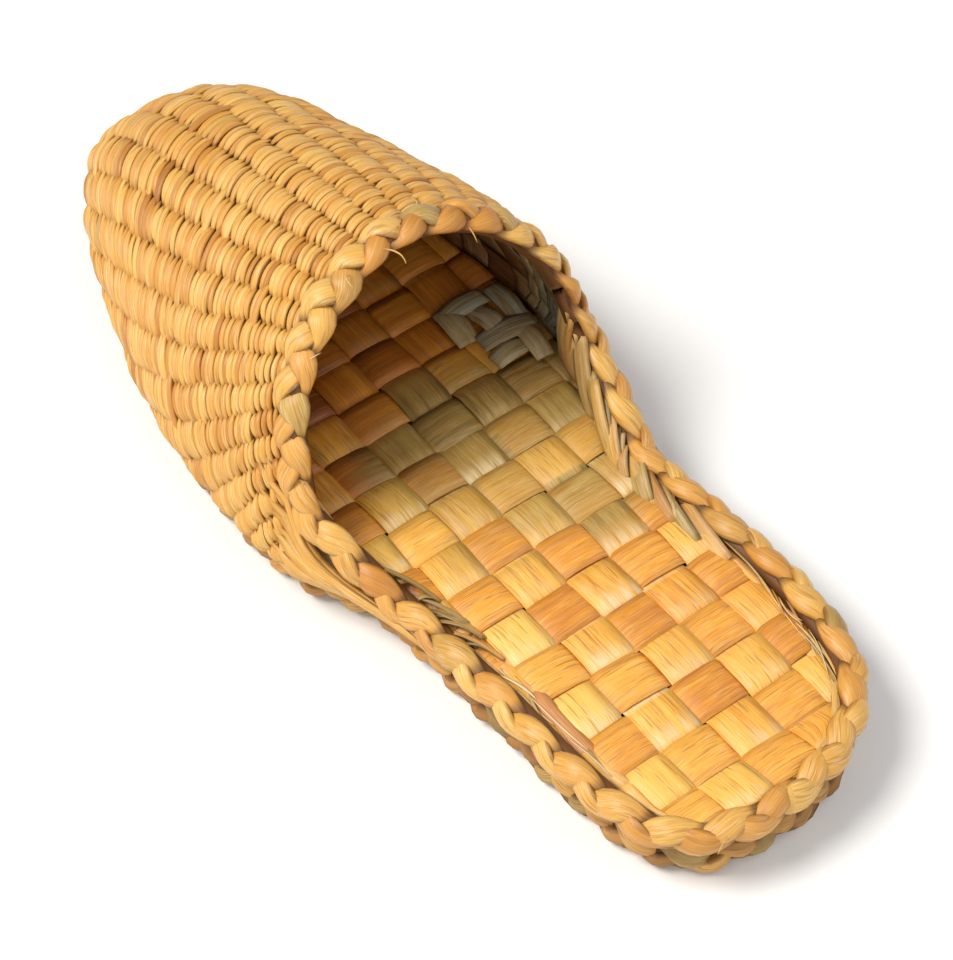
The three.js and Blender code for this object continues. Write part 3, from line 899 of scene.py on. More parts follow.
def add_stitches(bundle, rows, rng):
    """Every stitch passes over one rib and dives between its neighbours at both ends."""
    surface = skin()
    blank = grain_blank(6, (0.3, 0.6, 0.85, 0.97, 1, 1, 0.97, 0.85, 0.6, 0.3))
    rib, row = np.meshgrid(np.arange(RIBS_LEFT, RIBS_RIGHT), np.arange(rows), indexing="ij")
    rib, row = rib.ravel().astype(float), row.ravel().astype(float)
    middle = (row - 2.1 + 0.12 * np.sin(rib * 2.1 + row * 0.37)) / (rows - 2.6)
    middle_s = rib_share(rib + 0.5, middle)
    kept = (middle_s > 0.004) & (middle_s < 0.996)
    rib, row, middle, middle_s = rib[kept], row[kept], middle[kept], middle_s[kept]
    count = len(rib)
    lap = 0.17 + rng.normal(0, 0.06, count)
    slant = 0.95 + rng.normal(0, 0.19, count)
    tilt = rng.normal(0, 0.09, count)
    skipped = rng.uniform(0, 1, count) < 0.02
    lap = np.where(skipped, 0.55, lap)
    along = blank.points[None, :, 0]

    def place_at(u):
        tt = middle[:, None] + ((u - 0.5) * slant[:, None] + tilt[:, None]) / rows
        across_rib = rib[:, None] - lap[:, None] + u * (1 + 2 * lap[:, None])
        return rib_share(across_rib, tt), tt

    def centre(ds):
        u = along + ds
        ss, tt = place_at(u)
        crown = np.sin(np.pi * np.clip(u, 0, 1)) ** 0.9
        depth = STITCH_DEPTH - 1.35 * crown - height_own * crown
        return surface.point(ss, tt) - surface.normal(ss, tt) * depth[..., None]

    height_own = np.clip(rng.normal(0.0, 0.16, count), -0.25, 0.3)[:, None]
    tangent = unit(centre(0.01) - centre(-0.01))
    normal = surface.normal(*place_at(along))
    side = unit(np.cross(normal, tangent))
    up = np.cross(tangent, side)
    before, after = (surface.point(middle_s, middle + way / rows) for way in (-0.5, 0.5))
    pitch = np.linalg.norm(after - before, axis=1)
    full = pitch * np.clip(rng.normal(1.12, 0.14, count), 0.94, 1.5)
    thick = np.clip(rng.normal(1.7, 0.2, count), 1.3, 2.3)
    across = blank.points[None, :, 1] * full[:, None] / 2
    rise = blank.points[None, :, 2] * thick[:, None] / 2
    points = centre(0.0) + side * across[..., None] + up * rise[..., None]
    points[..., 2] = np.maximum(points[..., 2], SEAT - 0.4)
    # Painted shade at both ends of the stitch, where it dives between the ribs.
    ends = 1 - np.sin(np.pi * np.clip(along, 0, 1)) ** 0.7
    tone = np.clip(rng.normal(0.47, 0.21, count), 0.0, 1.0)
    base_age = 0.35 + 0.25 * smooth_step(row / rows, 0.55, 1.0)
    bundle.add(
        blank, points, along=along * 9 + rng.uniform(0, 40, count)[:, None], across=across,
        seed=rng.uniform(0, 9, count)[:, None], tone=tone[:, None], hollow=ends * 0.9,
        age=(base_age + rng.normal(0, 0.1, count))[:, None],
    )


# The strands outside the collar's foot stay below this: stations, and the height at each
FAN_ROOF = ((-60, -36, -28, -20, -12, 0, 12), (13, 13.4, 15, 18, 23, 47, 70))


def add_fan(bundle, rng):
    """Long strands outside the foot of the collar, where the upper runs out along the rim."""
    swell = (0.25, 0.5, 0.72, 0.88, 0.97, 1, 1, 1, 1, 0.97, 0.9, 0.78, 0.6, 0.4, 0.2)
    blank = grain_blank(8, swell)
    u = blank.points[:, 0]
    for side in (-1, 1):
        for k in range(30):
            level = (k % 15 + rng.uniform(-0.3, 0.3)) / 14
            under = k < 15
            z_start = 12.5 + 27 * level
            collar_y = COLLAR_FOOT - HALF_LENGTH + (z_start - SEAT) * math.tan(TILT)
            y_start = collar_y + rng.uniform(5, 11) - (4 if under else 0)
            y_end = -38 - 15 * level + rng.uniform(-5, 5)
            z_end = 11.0 + 3.4 * level + rng.uniform(-0.5, 0.8)

            def centre(v):
                y = y_start + (y_end - y_start) * v
                z = z_start + (z_end - z_start) * (1 - (1 - v) ** 1.5)
                roof = np.interp(y, *FAN_ROOF)
                z = -1.5 * np.log(np.exp(-z / 1.5) + np.exp(-(roof - 1.5 * (1 - level)) / 1.5))
                lift = (-1.5 if under else -0.5) - 0.9 * np.abs(2 * v - 1) ** 2
                x = skin_middle(y, z) + side * (skin_half(y, z) + lift)
                return np.stack([x, y, z], axis=-1)

            tangent = unit(centre(np.clip(u + 0.02, 0, 1)) - centre(np.clip(u - 0.02, 0, 1)))
            wide_way = unit(np.cross((side * 1.0, 0, 0.25), tangent))
            facing = np.cross(tangent, wide_way)
            wide, thick = rng.uniform(2.4, 3.5), rng.uniform(1.5, 2.0)
            points = (
                centre(u) + wide_way * (0.5 * wide * blank.points[:, 1])[:, None]
                + facing * (0.5 * thick * blank.points[:, 2])[:, None]
            )
            points[:, 2] = np.maximum(points[:, 2], SEAT)
            # Painted shade towards the strand's pointed ends.
            ends = 1 - np.sin(np.pi * np.clip(u, 0, 1)) ** 0.5
            bundle.add_one(
                blank, points, along=u * 36 + k * 5, across=blank.points[:, 1] * wide / 2,
                seed=rng.uniform(0, 9), tone=rng.uniform(0.2, 0.75), hollow=ends * 0.8,
                age=rng.uniform(0.3, 0.7), cool=rng.choice([0.0, 0.0, 0.3]),
            )


def weave_wave(place, parity):
    """Over and under along a strip: 1 over, -1 under, flat on top and quick between."""
    steep = 2.6
    wave = np.sin(np.pi * place + np.pi * parity)
    return np.tanh(steep * wave) / math.tanh(steep)


# Grey strips inside the collar on the right: turn in degrees, place of the middle, length
FOLDED_STRIPS = (
    (86, 24.5, 21, 13), (97, 31.5, 17, 12), (88, 38.5, 20, 14), (84, 36, 6, 12),
    (5, 29, 25, 14), (-6, 33, 12, 15), (3, 30, 6.5, 10),
)
SLANT_PAIRS = 8


def add_folded_strips(bundle):
    """Grey strips folded over the mat inside the collar, and slantwise ones up the wall there."""
    surface = skin()
    blank = strip_blank(12, 4)
    u, lane, face = blank.points.T
    swell = np.sin(np.pi * u)
    for k, (turn, x, y, span) in enumerate(FOLDED_STRIPS):
        angle = math.radians(turn)
        lead = np.array([math.cos(angle), math.sin(angle), 0.0])
        wide_way = np.array([-lead[1], lead[0], 0.0])
        wide = 5.9 + 0.6 * math.cos(k * 1.3)
        points = np.array([x, y, 0.0]) + lead * (span * (u - 0.5))[:, None]
        points = points + wide_way * (0.5 * wide * lane * (0.85 + 0.15 * swell))[:, None]
        raised = 1.3 * swell + 0.4 * (k % 2) + 0.3 * (1 - lane**2)
        wall_side = skin_middle(points[:, 1], 20.0) + skin_half(points[:, 1], 20.0) - 4.5
        over = np.maximum(points[:, 0] - wall_side, 0)
        points[:, 0] = points[:, 0] - over * 0.9
        points[:, 2] = 17.0 + raised + 0.9 * over + 0.25 * face
        # Painted shade at the strip's ends and a painted glint, partly also bleaching.
        bundle.add_one(
            blank, points, along=u * span + 9 * k, across=lane * wide / 2, seed=1.7 * k,
            tone=0.15 * (k % 3), hollow=0.45 * (1 - swell), age=0.4, cool=0.5 + 0.15 * (k % 3),
            bleached=0.15 + 0.15 * (k % 2),
        )
    for k in range(2 * SLANT_PAIRS):
        pair, back = k // 2, k % 2
        s = 0.985 - 0.135 * u
        t = -0.05 + 0.036 * pair + 0.1 * back + (0.1 - 0.2 * back) * u + 0.018 * lane
        wave = np.sin(2 * np.pi * (2 * u + 0.5 * pair))
        depth = 3.7 + 0.35 * back + 0.3 * wave + 0.2 * face
        points = surface.point(s, t) - surface.normal(s, t) * depth[:, None]
        points[:, 2] = np.maximum(points[:, 2], SEAT + 0.6)
        # Pale tones here are painted light, for light that falls on this wall; painted shade at the
        # ends and a painted glint on the back strips.
        bundle.add_one(
            blank, points, along=u * 24 + 9 * k, across=lane * 2.8, seed=2.1 * k,
            tone=0.05 + 0.1 * (k % 3), hollow=0.25 * (1 - swell), age=0.2,
            cool=0.35 + 0.2 * (k % 3), bleached=0.3 * back,
        )


def add_lining(bundle, rng):
    """The plaited strips inside the upper."""
    surface = skin()
    across_count, along_count = 16, 13
    warp = strip_blank(along_count * 7, 4)
    weft = strip_blank(across_count * 7, 4)

    def lay(blank, strips, make, first, tone, age):
        for k in range(strips):
            s, t, place = make(blank, k)
            wave = weave_wave(place, (k + first) % 2)
            depth = 2.95 + 0.42 * wave
            p, n = surface.point(s, t), surface.normal(s, t)
            rise = blank.points[:, 2] * 0.28
            points = p - n * (depth + rise)[:, None]
            points[:, 2] = np.maximum(points[:, 2], SEAT + 0.6)
            check = np.floor(place).astype(int) + 3
            own = rng.uniform(0, 1, (64, 2))[check]
            low = 1 - smooth_step(points[:, 2], 20, 48)
            # Greyer straw low on the right by the collar; there the tone is also made paler as
            # painted light.
            cool = smooth_step(points[:, 0], 8, 30) * low * (1 - smooth_step(t, 0.2, 0.36))
            # Painted shade where a strip runs under the crossing ones.
            bundle.add_one(
                blank, points, along=blank.points[:, 0] * 150, across=blank.points[:, 1] * 6,
                seed=k * 1.3, tone=np.clip(tone + (own[:, 0] - 0.5) * 0.35 - 0.55 * cool, 0, 1),
                hollow=0.45 - 0.45 * wave, age=age + (own[:, 1] - 0.5) * 0.8,
                cool=cool * (0.5 + 0.8 * own[:, 1]),
            )

    def make_warp(blank, k):
        x, y = blank.points[:, 0], blank.points[:, 1]
        s = (k + 0.5 + 0.47 * y) / across_count
        return s, -0.03 + x * 1.02, x * along_count

    def make_weft(blank, k):
        x, y = blank.points[:, 0], blank.points[:, 1]
        t = -0.03 + 1.02 * (k + 0.5 + 0.47 * y) / along_count
        return 0.01 + x * 0.98, t, x * across_count

    add_folded_strips(bundle)
    lay(warp, across_count, make_warp, first=0, tone=0.75, age=0.25)
    lay(weft, along_count, make_weft, first=1, tone=0.6, age=0.45)


def heel_lift(y, heel_y, height=2.6):
    """The mat turns up where it meets the rim round the heel."""
    return height * (1 - smooth_step(y - heel_y, 2, 16))


def insole_edge(inset_shift):
    """The insole's left and right edges by station, inside the rim and then inside the upper."""
    count = 400
    edge = outline(count, 0, 0)
    forward = smooth_step(to_share(edge[:, 1]), 0.34, 0.41)
    inset = (RIM_EDGE + RIM_DEPTH + 0.3) * (1 - forward) + (SOLE_INSET + WALL + 0.3) * forward
    heel = 1 - smooth_step(to_share(edge[:, 1]), 0.0, 0.1)
    inset = inset + (inset_shift - 2.4 * heel) * (1 - forward)
    ring = edge + inset[:, None] * left_of(directions(edge))
    heel, toe = np.argmin(ring[:, 1]), np.argmax(ring[:, 1])
    order = np.roll(ring, -heel, axis=0)
    split = (toe - heel) % count
    right = order[: split + 1]
    left = np.vstack([order[split:], order[:1]])[::-1]
    return left, right


def add_insole(bundle, strip, rng):
    """Lengthwise strips of pale straw under and over crosswise strips of darker straw."""
    left, right = insole_edge(-2.7)
    low_y, high_y = left[:, 1].min() + 0.4, left[:, 1].max() - 0.4
    first_y = 6 - HALF_LENGTH - strip
    half = strip * 0.485

    def left_x(y):
        return np.interp(y, left[:, 1], left[:, 0])

    def right_x(y):
        return np.interp(y, right[:, 1], right[:, 0])

    def level(x, y, wave):
        edge = np.minimum(x - left_x(y), right_x(y) - x)
        edge = np.minimum(edge, y - low_y + 1)
        dip = 0.9 * (1 - smooth_step(edge, 0, 3)) * (to_share(y) < 0.5)
        return SEAT + MAT_THICKNESS + 0.1 + 0.68 * wave - dip + heel_lift(y, low_y)

    def lay(blank, x, y, place, parity, tone, age, k, run, over):
        wave = weave_wave(place, parity)
        lane = blank.points[:, 1]
        crown = 0.35 * (1 - lane**2)
        z = level(x, y, wave) + crown * (0.5 + 0.5 * wave) + blank.points[:, 2] * 0.3
        points = np.stack([x, y, np.maximum(z, SEAT + 0.1)], axis=1)
        check = np.clip(np.floor(place).astype(int) + 2, 0, 63)
        own = rng.uniform(0, 1, (64, 3))[check]
        inside = place - np.floor(place)
        # Painted glints on the heel-side end of each cell where a strip lies over, fewer under the
        # upper.
        bleached = 0.04
        if over:
            bleached = smooth_step(0.5 - inside, 0, 0.5) * (0.1 + 0.9 * own[:, 2] ** 1.3)
        share = to_share(y)
        covered = smooth_step(share, 0.42, 0.5)
        greened = smooth_step(share, 0.27, 0.38) * (1 - smooth_step(share, 0.5, 0.6))
        greened = greened * smooth_step(x, -34, -8)
        # Painted shade under the upper: the tone made darker and redder on its left side and
        # towards the toe.
        left_red_shade = covered * smooth_step(-x, -10, 12)
        deep_shade = smooth_step(share, 0.46, 0.62)
        shade = tone + (own[:, 0] - 0.5) * (0.2 + 0.2 * covered) + 0.26 * left_red_shade + 0.26 * deep_shade
        shade = np.clip(shade, 0, 1.1)
        older = age + (own[:, 1] - 0.5) * 0.5 - 0.4 * left_red_shade
        cool = greened * (0.35 + 0.75 * own[:, 1]) + 0.22 * (own[:, 1] > 0.86)
        # Painted shade where a strip runs under the crossing ones.
        bundle.add_one(
            blank, points, along=run, across=lane * half, seed=k * 2.3 + 0.5, tone=shade,
            hollow=0.75 * smooth_step(-wave, 0.0, 0.95), age=older, cool=cool,
            bleached=bleached * (1 - 0.8 * covered),
        )

    for k in range(-5, 5):
        centre = (k + 0.5) * strip
        ys = np.linspace(low_y, high_y, 600)
        room = np.minimum(centre + half, right_x(ys)) - np.maximum(centre - half, left_x(ys))
        change = np.diff(np.concatenate([[0], (room > 1.2).astype(int), [0]]))
        starts, ends = np.flatnonzero(change == 1), np.flatnonzero(change == -1) - 1
        for a, b in zip(starts, ends):
            if ys[b] - ys[a] < 8:
                continue
            span = ys[b] - ys[a]
            blank = strip_blank(max(int(span / 1.6), 6), 4)
            y = ys[a] + span * blank.points[:, 0]
            bowed = centre + 0.45 * np.sin(y / 19 + k * 1.7) + 0.3 * np.sin(y / 7.3 + k)
            lo = np.maximum(bowed - half, left_x(y))
            hi = np.minimum(bowed + half, right_x(y))
            x = lo + (hi - lo) * (blank.points[:, 1] + 1) / 2
            place = (y - first_y) / strip
            tone = 0.3 + 0.05 * rng.normal()
            lay(blank, x, y, place, k % 2, tone, age=0.25, k=k + 6, run=y + 200, over=True)
    rows = int((high_y - first_y) / strip) + 1
    for m in range(rows):
        centre = first_y + (m + 0.5) * strip
        lo_y, hi_y = max(centre - half, low_y), min(centre + half, high_y)
        if hi_y - lo_y < 1.5:
            continue
        span = float(right_x(centre) - left_x(centre))
        blank = strip_blank(max(int(span / 1.6), 6), 4)
        y = lo_y + (hi_y - lo_y) * (blank.points[:, 1] + 1) / 2
        x = left_x(y) + (right_x(y) - left_x(y)) * blank.points[:, 0]
        place = x / strip + 10
        bowed = y + 0.45 * np.sin(x / 15 + m * 2.1) + 0.25 * np.sin(x / 6.1 + m)
        y = np.clip(bowed, low_y, high_y)
        tone = 0.5 + 0.06 * rng.normal()
        lay(blank, x, y, place, (m + 1) % 2, tone, age=0.4, k=m + 30, run=x + 200, over=False)
    bed = np.vstack([right, left[::-1][1:-1]])
    add_plate(bundle, bed, SEAT, SEAT + MAT_THICKNESS - 1.6)


def add_plate(bundle, ring, low, high):
    """A flat plate, dark with painted shade, that closes the view under a layer of straws."""
    count = len(ring)
    bottom = np.column_stack([ring[:, :2], np.broadcast_to(low, count)])
    top = np.column_stack([ring[:, :2], np.broadcast_to(high, count)])
    spine_y = np.clip(ring[:, 1], to_station(0.2), to_station(0.8))
    spine = np.stack([middle_at(spine_y), spine_y], axis=1)
    spine_low = np.column_stack([spine, np.broadcast_to(low, count)])
    spine_high = np.column_stack([spine, np.broadcast_to(high, count)])
    points = np.concatenate([spine_low, bottom, top, spine_high])
    i = np.arange(count)
    j = (i + 1) % count
    quad = np.stack([i, j, j + count, i + count], axis=1)
    faces = np.concatenate([quad + k * count for k in range(3)])
    bundle.add_one(
        Sheet(faces), points, along=points[:, 1], across=points[:, 0], seed=2.0, tone=0.2,
        hollow=1.0, age=0.4,
    )


def add_edge_strips(bundle, rng):
    """Short strips laid along the mat's edge, where the plait turns down beside the rim."""
    blank = strip_blank(12, 4)
    lane, u = blank.points[:, 1], blank.points[:, 0]
    for k, side in enumerate(insole_edge(-1.9)):
        steps = chain_lengths(side)
        inward = 1 - 2 * k
        start = 4.0
        while start < np.interp(to_station(STRIPS_END), side[:, 1], steps) - 20:
            span = rng.uniform(14, 27)
            run = start + span * u
            x, y = np.interp(run, steps, side[:, 0]), np.interp(run, steps, side[:, 1])
            wide = rng.uniform(2.6, 4.6)
            slant = rng.uniform(-0.09, 0.12)
            drift = rng.uniform(0.2, 1.8) + slant * span * (u - 0.5) + 0.5 * wide * lane
            z = SEAT + MAT_THICKNESS + 0.9 + rng.uniform(-0.4, 0.5) - 0.35 * np.abs(lane) ** 2
            ends = smooth_step(u, 0, 0.15) * smooth_step(1 - u, 0, 0.15)
            z = z - 1.6 * (1 - ends) - 1.1 * smooth_step(-drift, -2.2, 1.5)
            z = z + heel_lift(y, side[:, 1].min())
            points = np.stack([x + inward * drift, y, z + blank.points[:, 2] * 0.28], axis=1)
            # Painted shade at the ends, where the strips tuck down, and a painted glint, partly
            # also bleaching.
            bundle.add_one(
                blank, points, along=run + 60, across=lane * wide / 2, seed=rng.uniform(0, 9),
                tone=rng.uniform(0.2, 0.85), hollow=(1 - ends) * 0.8, age=rng.uniform(0.2, 0.7),
                cool=rng.choice([0.0, 0.0, 0.0, 0.45]), bleached=0.2,
            )
            start += rng.uniform(7, 13)


def add_loose_straws(bundle, rng):
    """Thin split straws in the gap between the insole and the rim."""
    blank = grain_blank(5, (0.3, 0.6, 0.8, 0.9, 1, 1, 1, 1, 1, 0.9, 0.8, 0.6, 0.3))
    u = blank.points[:, 0]
    for k, side in enumerate(insole_edge(-1.6)):
        steps = chain_lengths(side)
        inward = 1 - 2 * k
        last = np.interp(to_station(STRIPS_END), side[:, 1], steps)
        for _ in range(26):
            span = rng.uniform(8, 24)
            run = rng.uniform(3, last - span) + span * u
            x, y = np.interp(run, steps, side[:, 0]), np.interp(run, steps, side[:, 1])
            drift = rng.uniform(-0.8, 1.2) + rng.uniform(-2.4, 2.4) * (u - 0.5)
            drift = drift + rng.uniform(-0.8, 0.8) * np.sin(np.pi * u)
            z = SEAT + MAT_THICKNESS + rng.uniform(0.3, 1.7) + heel_lift(y, side[:, 1].min(), 2.0)
            wide, thick = rng.uniform(0.35, 0.9), rng.uniform(0.2, 0.35)
            points = np.stack([
                x + inward * drift + blank.points[:, 1] * wide / 2, y,
                z + blank.points[:, 2] * thick / 2,
            ], axis=1)
            # A little painted shade, and painted glints, partly also bleaching.
            bundle.add_one(
                blank, points, along=run + 100, across=blank.points[:, 1] * wide / 2,
                seed=rng.uniform(0, 9), tone=rng.uniform(0.1, 0.9), hollow=0.15,
                age=rng.uniform(0.2, 0.8), cool=rng.choice([0.0, 0.3, 0.7]),
                bleached=rng.uniform(0, 0.6),
            )


def add_junction_strips(bundle, path, out, rng):
    """Leaf-like strips from the rim down to the mat, where the rim starts to climb."""
    blank = strip_blank(10, 4)
    u, lane = blank.points[:, 0], blank.points[:, 1]
    low = (path[:, 1] > to_station(0.29)) & (path[:, 2] < 42)
    for k, edge in enumerate(insole_edge(-0.2)):
        here = np.flatnonzero(low & ((path[:, 0] < middle_at(path[:, 1])) == (k == 0)))
        here = here[np.argsort(path[here, 1] + 0.5 * path[here, 2])]
        for share in np.linspace(0.02, 0.98, 23):
            i = here[int(share * (len(here) - 1))]
            inward = -unit(out[i] * (1, 1, 0))
            start = path[i] + inward * rng.uniform(1.4, 2.5)
            start = start + (0, 0, rng.uniform(-1.6, 0.6) + 1.9 * k)
            reach = rng.uniform(-2, 16 + 6 * k) - 0.35 * (start[2] - RIM_LEVEL)
            y = start[1] - reach
            end = np.array([np.interp(y, edge[:, 1], edge[:, 0]), y, SEAT + MAT_THICKNESS + 0.4])
            end = end + inward * rng.uniform(0.2, 2.2)
            lead = end - start
            facing = unit(inward + (0, 0, 0.7))
            wide_way = unit(np.cross(facing, lead))
            facing = unit(np.cross(lead, wide_way))
            wide = rng.uniform(3.4, 6.6)
            leaf = 0.75 + 0.25 * np.sin(np.pi * np.clip(u * 0.9 + 0.08, 0, 1))
            lift = 0.5 + 0.9 * np.sin(np.pi * u) - 0.5 * lane**2 + 0.25 * blank.points[:, 2]
            points = (
                start + lead * u[:, None] + wide_way * (0.5 * wide * leaf * lane)[:, None]
                + facing * lift[:, None]
            )
            points[:, 2] = np.maximum(points[:, 2], SEAT)
            # Painted shade towards the narrow ends of each leaf, and painted glints, partly also
            # bleaching.
            bundle.add_one(
                blank, points, along=u * np.linalg.norm(lead) + share * 50,
                across=lane * wide / 2, seed=rng.uniform(0, 9), tone=rng.uniform(0.25, 0.8),
                hollow=0.5 * (1 - leaf), age=rng.uniform(0.3, 0.8),
                cool=rng.choice([0.35, 0.65, 1.0]), bleached=rng.uniform(0, 0.3),
            )


def add_stray_fibres(bundle, path, out, across, rng):
    """Fine fibres that have sprung out of the rim, most of them over the collar."""
    blank = grain_blank(4, (0.4, 0.8, 1, 1, 0.9, 0.7, 0.3))
    along = directions(path)
    u = blank.points[:, 0]
    high = np.flatnonzero(path[:, 2] > 28)
    for k in range(16):
        i = int(rng.choice(high)) if k < 14 else int(rng.integers(len(path)))
        span = rng.uniform(3.5, 8)
        lead = unit(
            along[i] * rng.normal(0, 1) + across[i] * rng.normal(0, 0.8)
            + out[i] * rng.normal(-0.1 if k < 14 else 0.3, 0.5)
        )
        bow = unit(np.cross(lead, rng.normal(0, 1, 3))) * rng.uniform(0.5, 2.5)
        start = path[i] + out[i] * 1.5 + lead * 3
        middle = start + lead * (span * u)[:, None] + bow * (np.sin(np.pi * u) * 0.6)[:, None]
        wide = rng.uniform(0.12, 0.24)
        one = unit(np.cross(lead, (0.3, 0.2, 0.9)))
        two = np.cross(lead, one)
        points = middle + (one * blank.points[:, 1:2] + two * blank.points[:, 2:3]) * wide
        points[:, 2] = np.maximum(points[:, 2], 0.5)
        # Painted glints along the fibres, partly also bleaching.
        bundle.add_one(
            blank, points, along=u * span, across=blank.points[:, 1], seed=rng.uniform(0, 9),
            tone=rng.uniform(0.0, 0.5), hollow=0.0, age=0.2, bleached=0.5,
        )


class PieceOperator:
    """Shared by the operators that make pieces."""

    bl_options = {"REGISTER", "UNDO"}

    def execute(self, context):
        self.make(context.scene.slipper_sizes, context.scene.slipper_colours)
        return {"FINISHED"}


class SLIPPER_OT_upper(PieceOperator, bpy.types.Operator):
    """Twine the upper: a wall, its stitches over the ribs and the plaited lining"""

    bl_idname = "slipper.upper"
    bl_label = "Upper"

    def make(self, sizes, colours):
        rng = np.random.default_rng(SEED)
        outside = Bundle()
        add_wall(outside)
        add_stitches(outside, sizes.row_count, rng)
        add_fan(outside, rng)
        stops = [
            (0.0, tuple(colours.pale)),
            (0.35, blend_colour(colours.pale, colours.gold, 0.45)),
            (0.62, tuple(colours.gold)),
            (0.85, blend_colour(colours.gold, colours.ochre, 0.6)),
            (1.0, tuple(colours.ochre)),
        ]
        finish_piece(outside, "twined_upper", "upper", straw_material(
            "twined straw", stops, dark=(0.28, 0.175, 0.065), stain=(0.62, 0.60, 0.42),
            fibre=(0.34, 0.16, 0.04), wear_and_glint=(0.98, 0.84, 0.56), gloss=0.44, stain_amount=0.5,
            fibre_amount=0.5, edge_shade=0.75,
        ))
        inside = Bundle()
        add_lining(inside, rng)
        stops = [
            (0.0, blend_colour(colours.pale, colours.olive, 0.5)),
            (0.35, blend_colour(colours.ochre, colours.olive, 0.35)),
            (0.62, (0.24, 0.075, 0.012)),
            (1.0, (0.10, 0.025, 0.006)),
        ]
        finish_piece(inside, "upper_lining", "upper", straw_material(
            "lining straw", stops, dark=(0.3, 0.16, 0.06), stain=(0.50, 0.58, 0.46),
            fibre=(0.18, 0.07, 0.02), wear_and_glint=(0.70, 0.62, 0.42), gloss=0.5, stain_amount=0.5,
            fibre_amount=0.8, cool=(0.30, 0.41, 0.36),
        ))


class SLIPPER_OT_insole(PieceOperator, bpy.types.Operator):
    """Plait the insole from lengthwise and crosswise strips"""

    bl_idname = "slipper.insole"
    bl_label = "Insole"

    def make(self, sizes, colours):
        rng = np.random.default_rng(SEED + 1)
        bundle = Bundle()
        add_insole(bundle, sizes.strip_width / MM, rng)
        add_edge_strips(bundle, rng)
        stops = [
            (0.0, (0.90, 0.55, 0.112)),
            (0.28, (0.88, 0.46, 0.062)),
            (0.5, (0.78, 0.325, 0.026)),
            (0.72, (0.58, 0.18, 0.010)),
            (1.0, (0.24, 0.055, 0.006)),
        ]
        finish_piece(bundle, "plaited_insole", "insole", straw_material(
            "insole straw", stops, dark=(0.26, 0.13, 0.05), stain=(0.62, 0.60, 0.42),
            fibre=(0.44, 0.17, 0.025), wear_and_glint=(0.84, 0.66, 0.38), gloss=0.42, stain_amount=0.45,
            fibre_amount=0.75,
        ))


class SLIPPER_OT_rim(PieceOperator, bpy.types.Operator):
    """Braid the rim along the sole's edge and over the collar"""

    bl_idname = "slipper.rim"
    bl_label = "Rim"

    def make(self, sizes, colours):
        rng = np.random.default_rng(SEED + 2)
        path, out, across, climbed = rim_path()
        heel = 1 - smooth_step(path[:, 1], to_station(0.02), to_station(0.16))
        far = smooth_step(path[:, 0] - middle_at(path[:, 1]), -12, 16) * (1 - climbed)
        roll = np.radians(22 - 10 * climbed + 12 * heel * (1 - far) + 30 * far)[:, None]
        face = out * np.cos(roll) + across * np.sin(roll)
        side = across * np.cos(roll) - out * np.sin(roll)
        pitch = sizes.side_pitch * (1 - heel) + sizes.heel_pitch * heel
        pitch = (pitch * (1 - climbed) + sizes.collar_pitch * climbed) / MM
        bundle = Bundle()
        add_core(bundle, path - out * climbed[:, None] * 0.6, CORE_RADIUS)
        add_curtain(bundle, path, out, CURTAIN_TOP)
        radius, bend, behind = 3.2 + 3.3 * climbed, 1 / (3.8 + 2.7 * climbed), 5.4 * climbed
        sway, dive = 2.6 + 0.1 * climbed, 1.0 + 0.25 * climbed
        width, thick = 6.8 - 1.6 * climbed, 2.2 + 0.1 * climbed
        add_braid(
            bundle, path, side, face, sway, dive, width, thick, pitch, rng, (0.15, 0.85), sides=14,
            wrap=(radius, bend, behind), age=0.35, unripe=0.04, skew=0.1 + 0.22 * climbed,
        )
        add_junction_strips(bundle, path, out, rng)
        add_loose_straws(bundle, rng)
        add_stray_fibres(bundle, path, out, across, rng)
        stops = [
            (0.0, tuple(colours.pale)),
            (0.4, blend_colour(colours.pale, colours.gold, 0.6)),
            (0.65, (0.63, 0.285, 0.043)),
            (1.0, (0.46, 0.17, 0.02)),
        ]
        finish_piece(bundle, "braided_rim", "rim_braid", straw_material(
            "rim straw", stops, dark=(0.12, 0.055, 0.02), stain=(0.62, 0.60, 0.42),
            fibre=(0.36, 0.15, 0.03), wear_and_glint=(0.96, 0.80, 0.50), gloss=0.42, stain_amount=0.45,
            fibre_amount=0.6, edge_shade=0.5,
        ))


# Plait rows under the sole: how many rows in from the edge, width, points round
SOLE_ROWS = ((0.6, 14.5, 260), (1.55, 14.5, 220), (2.5, 13.0, 180))


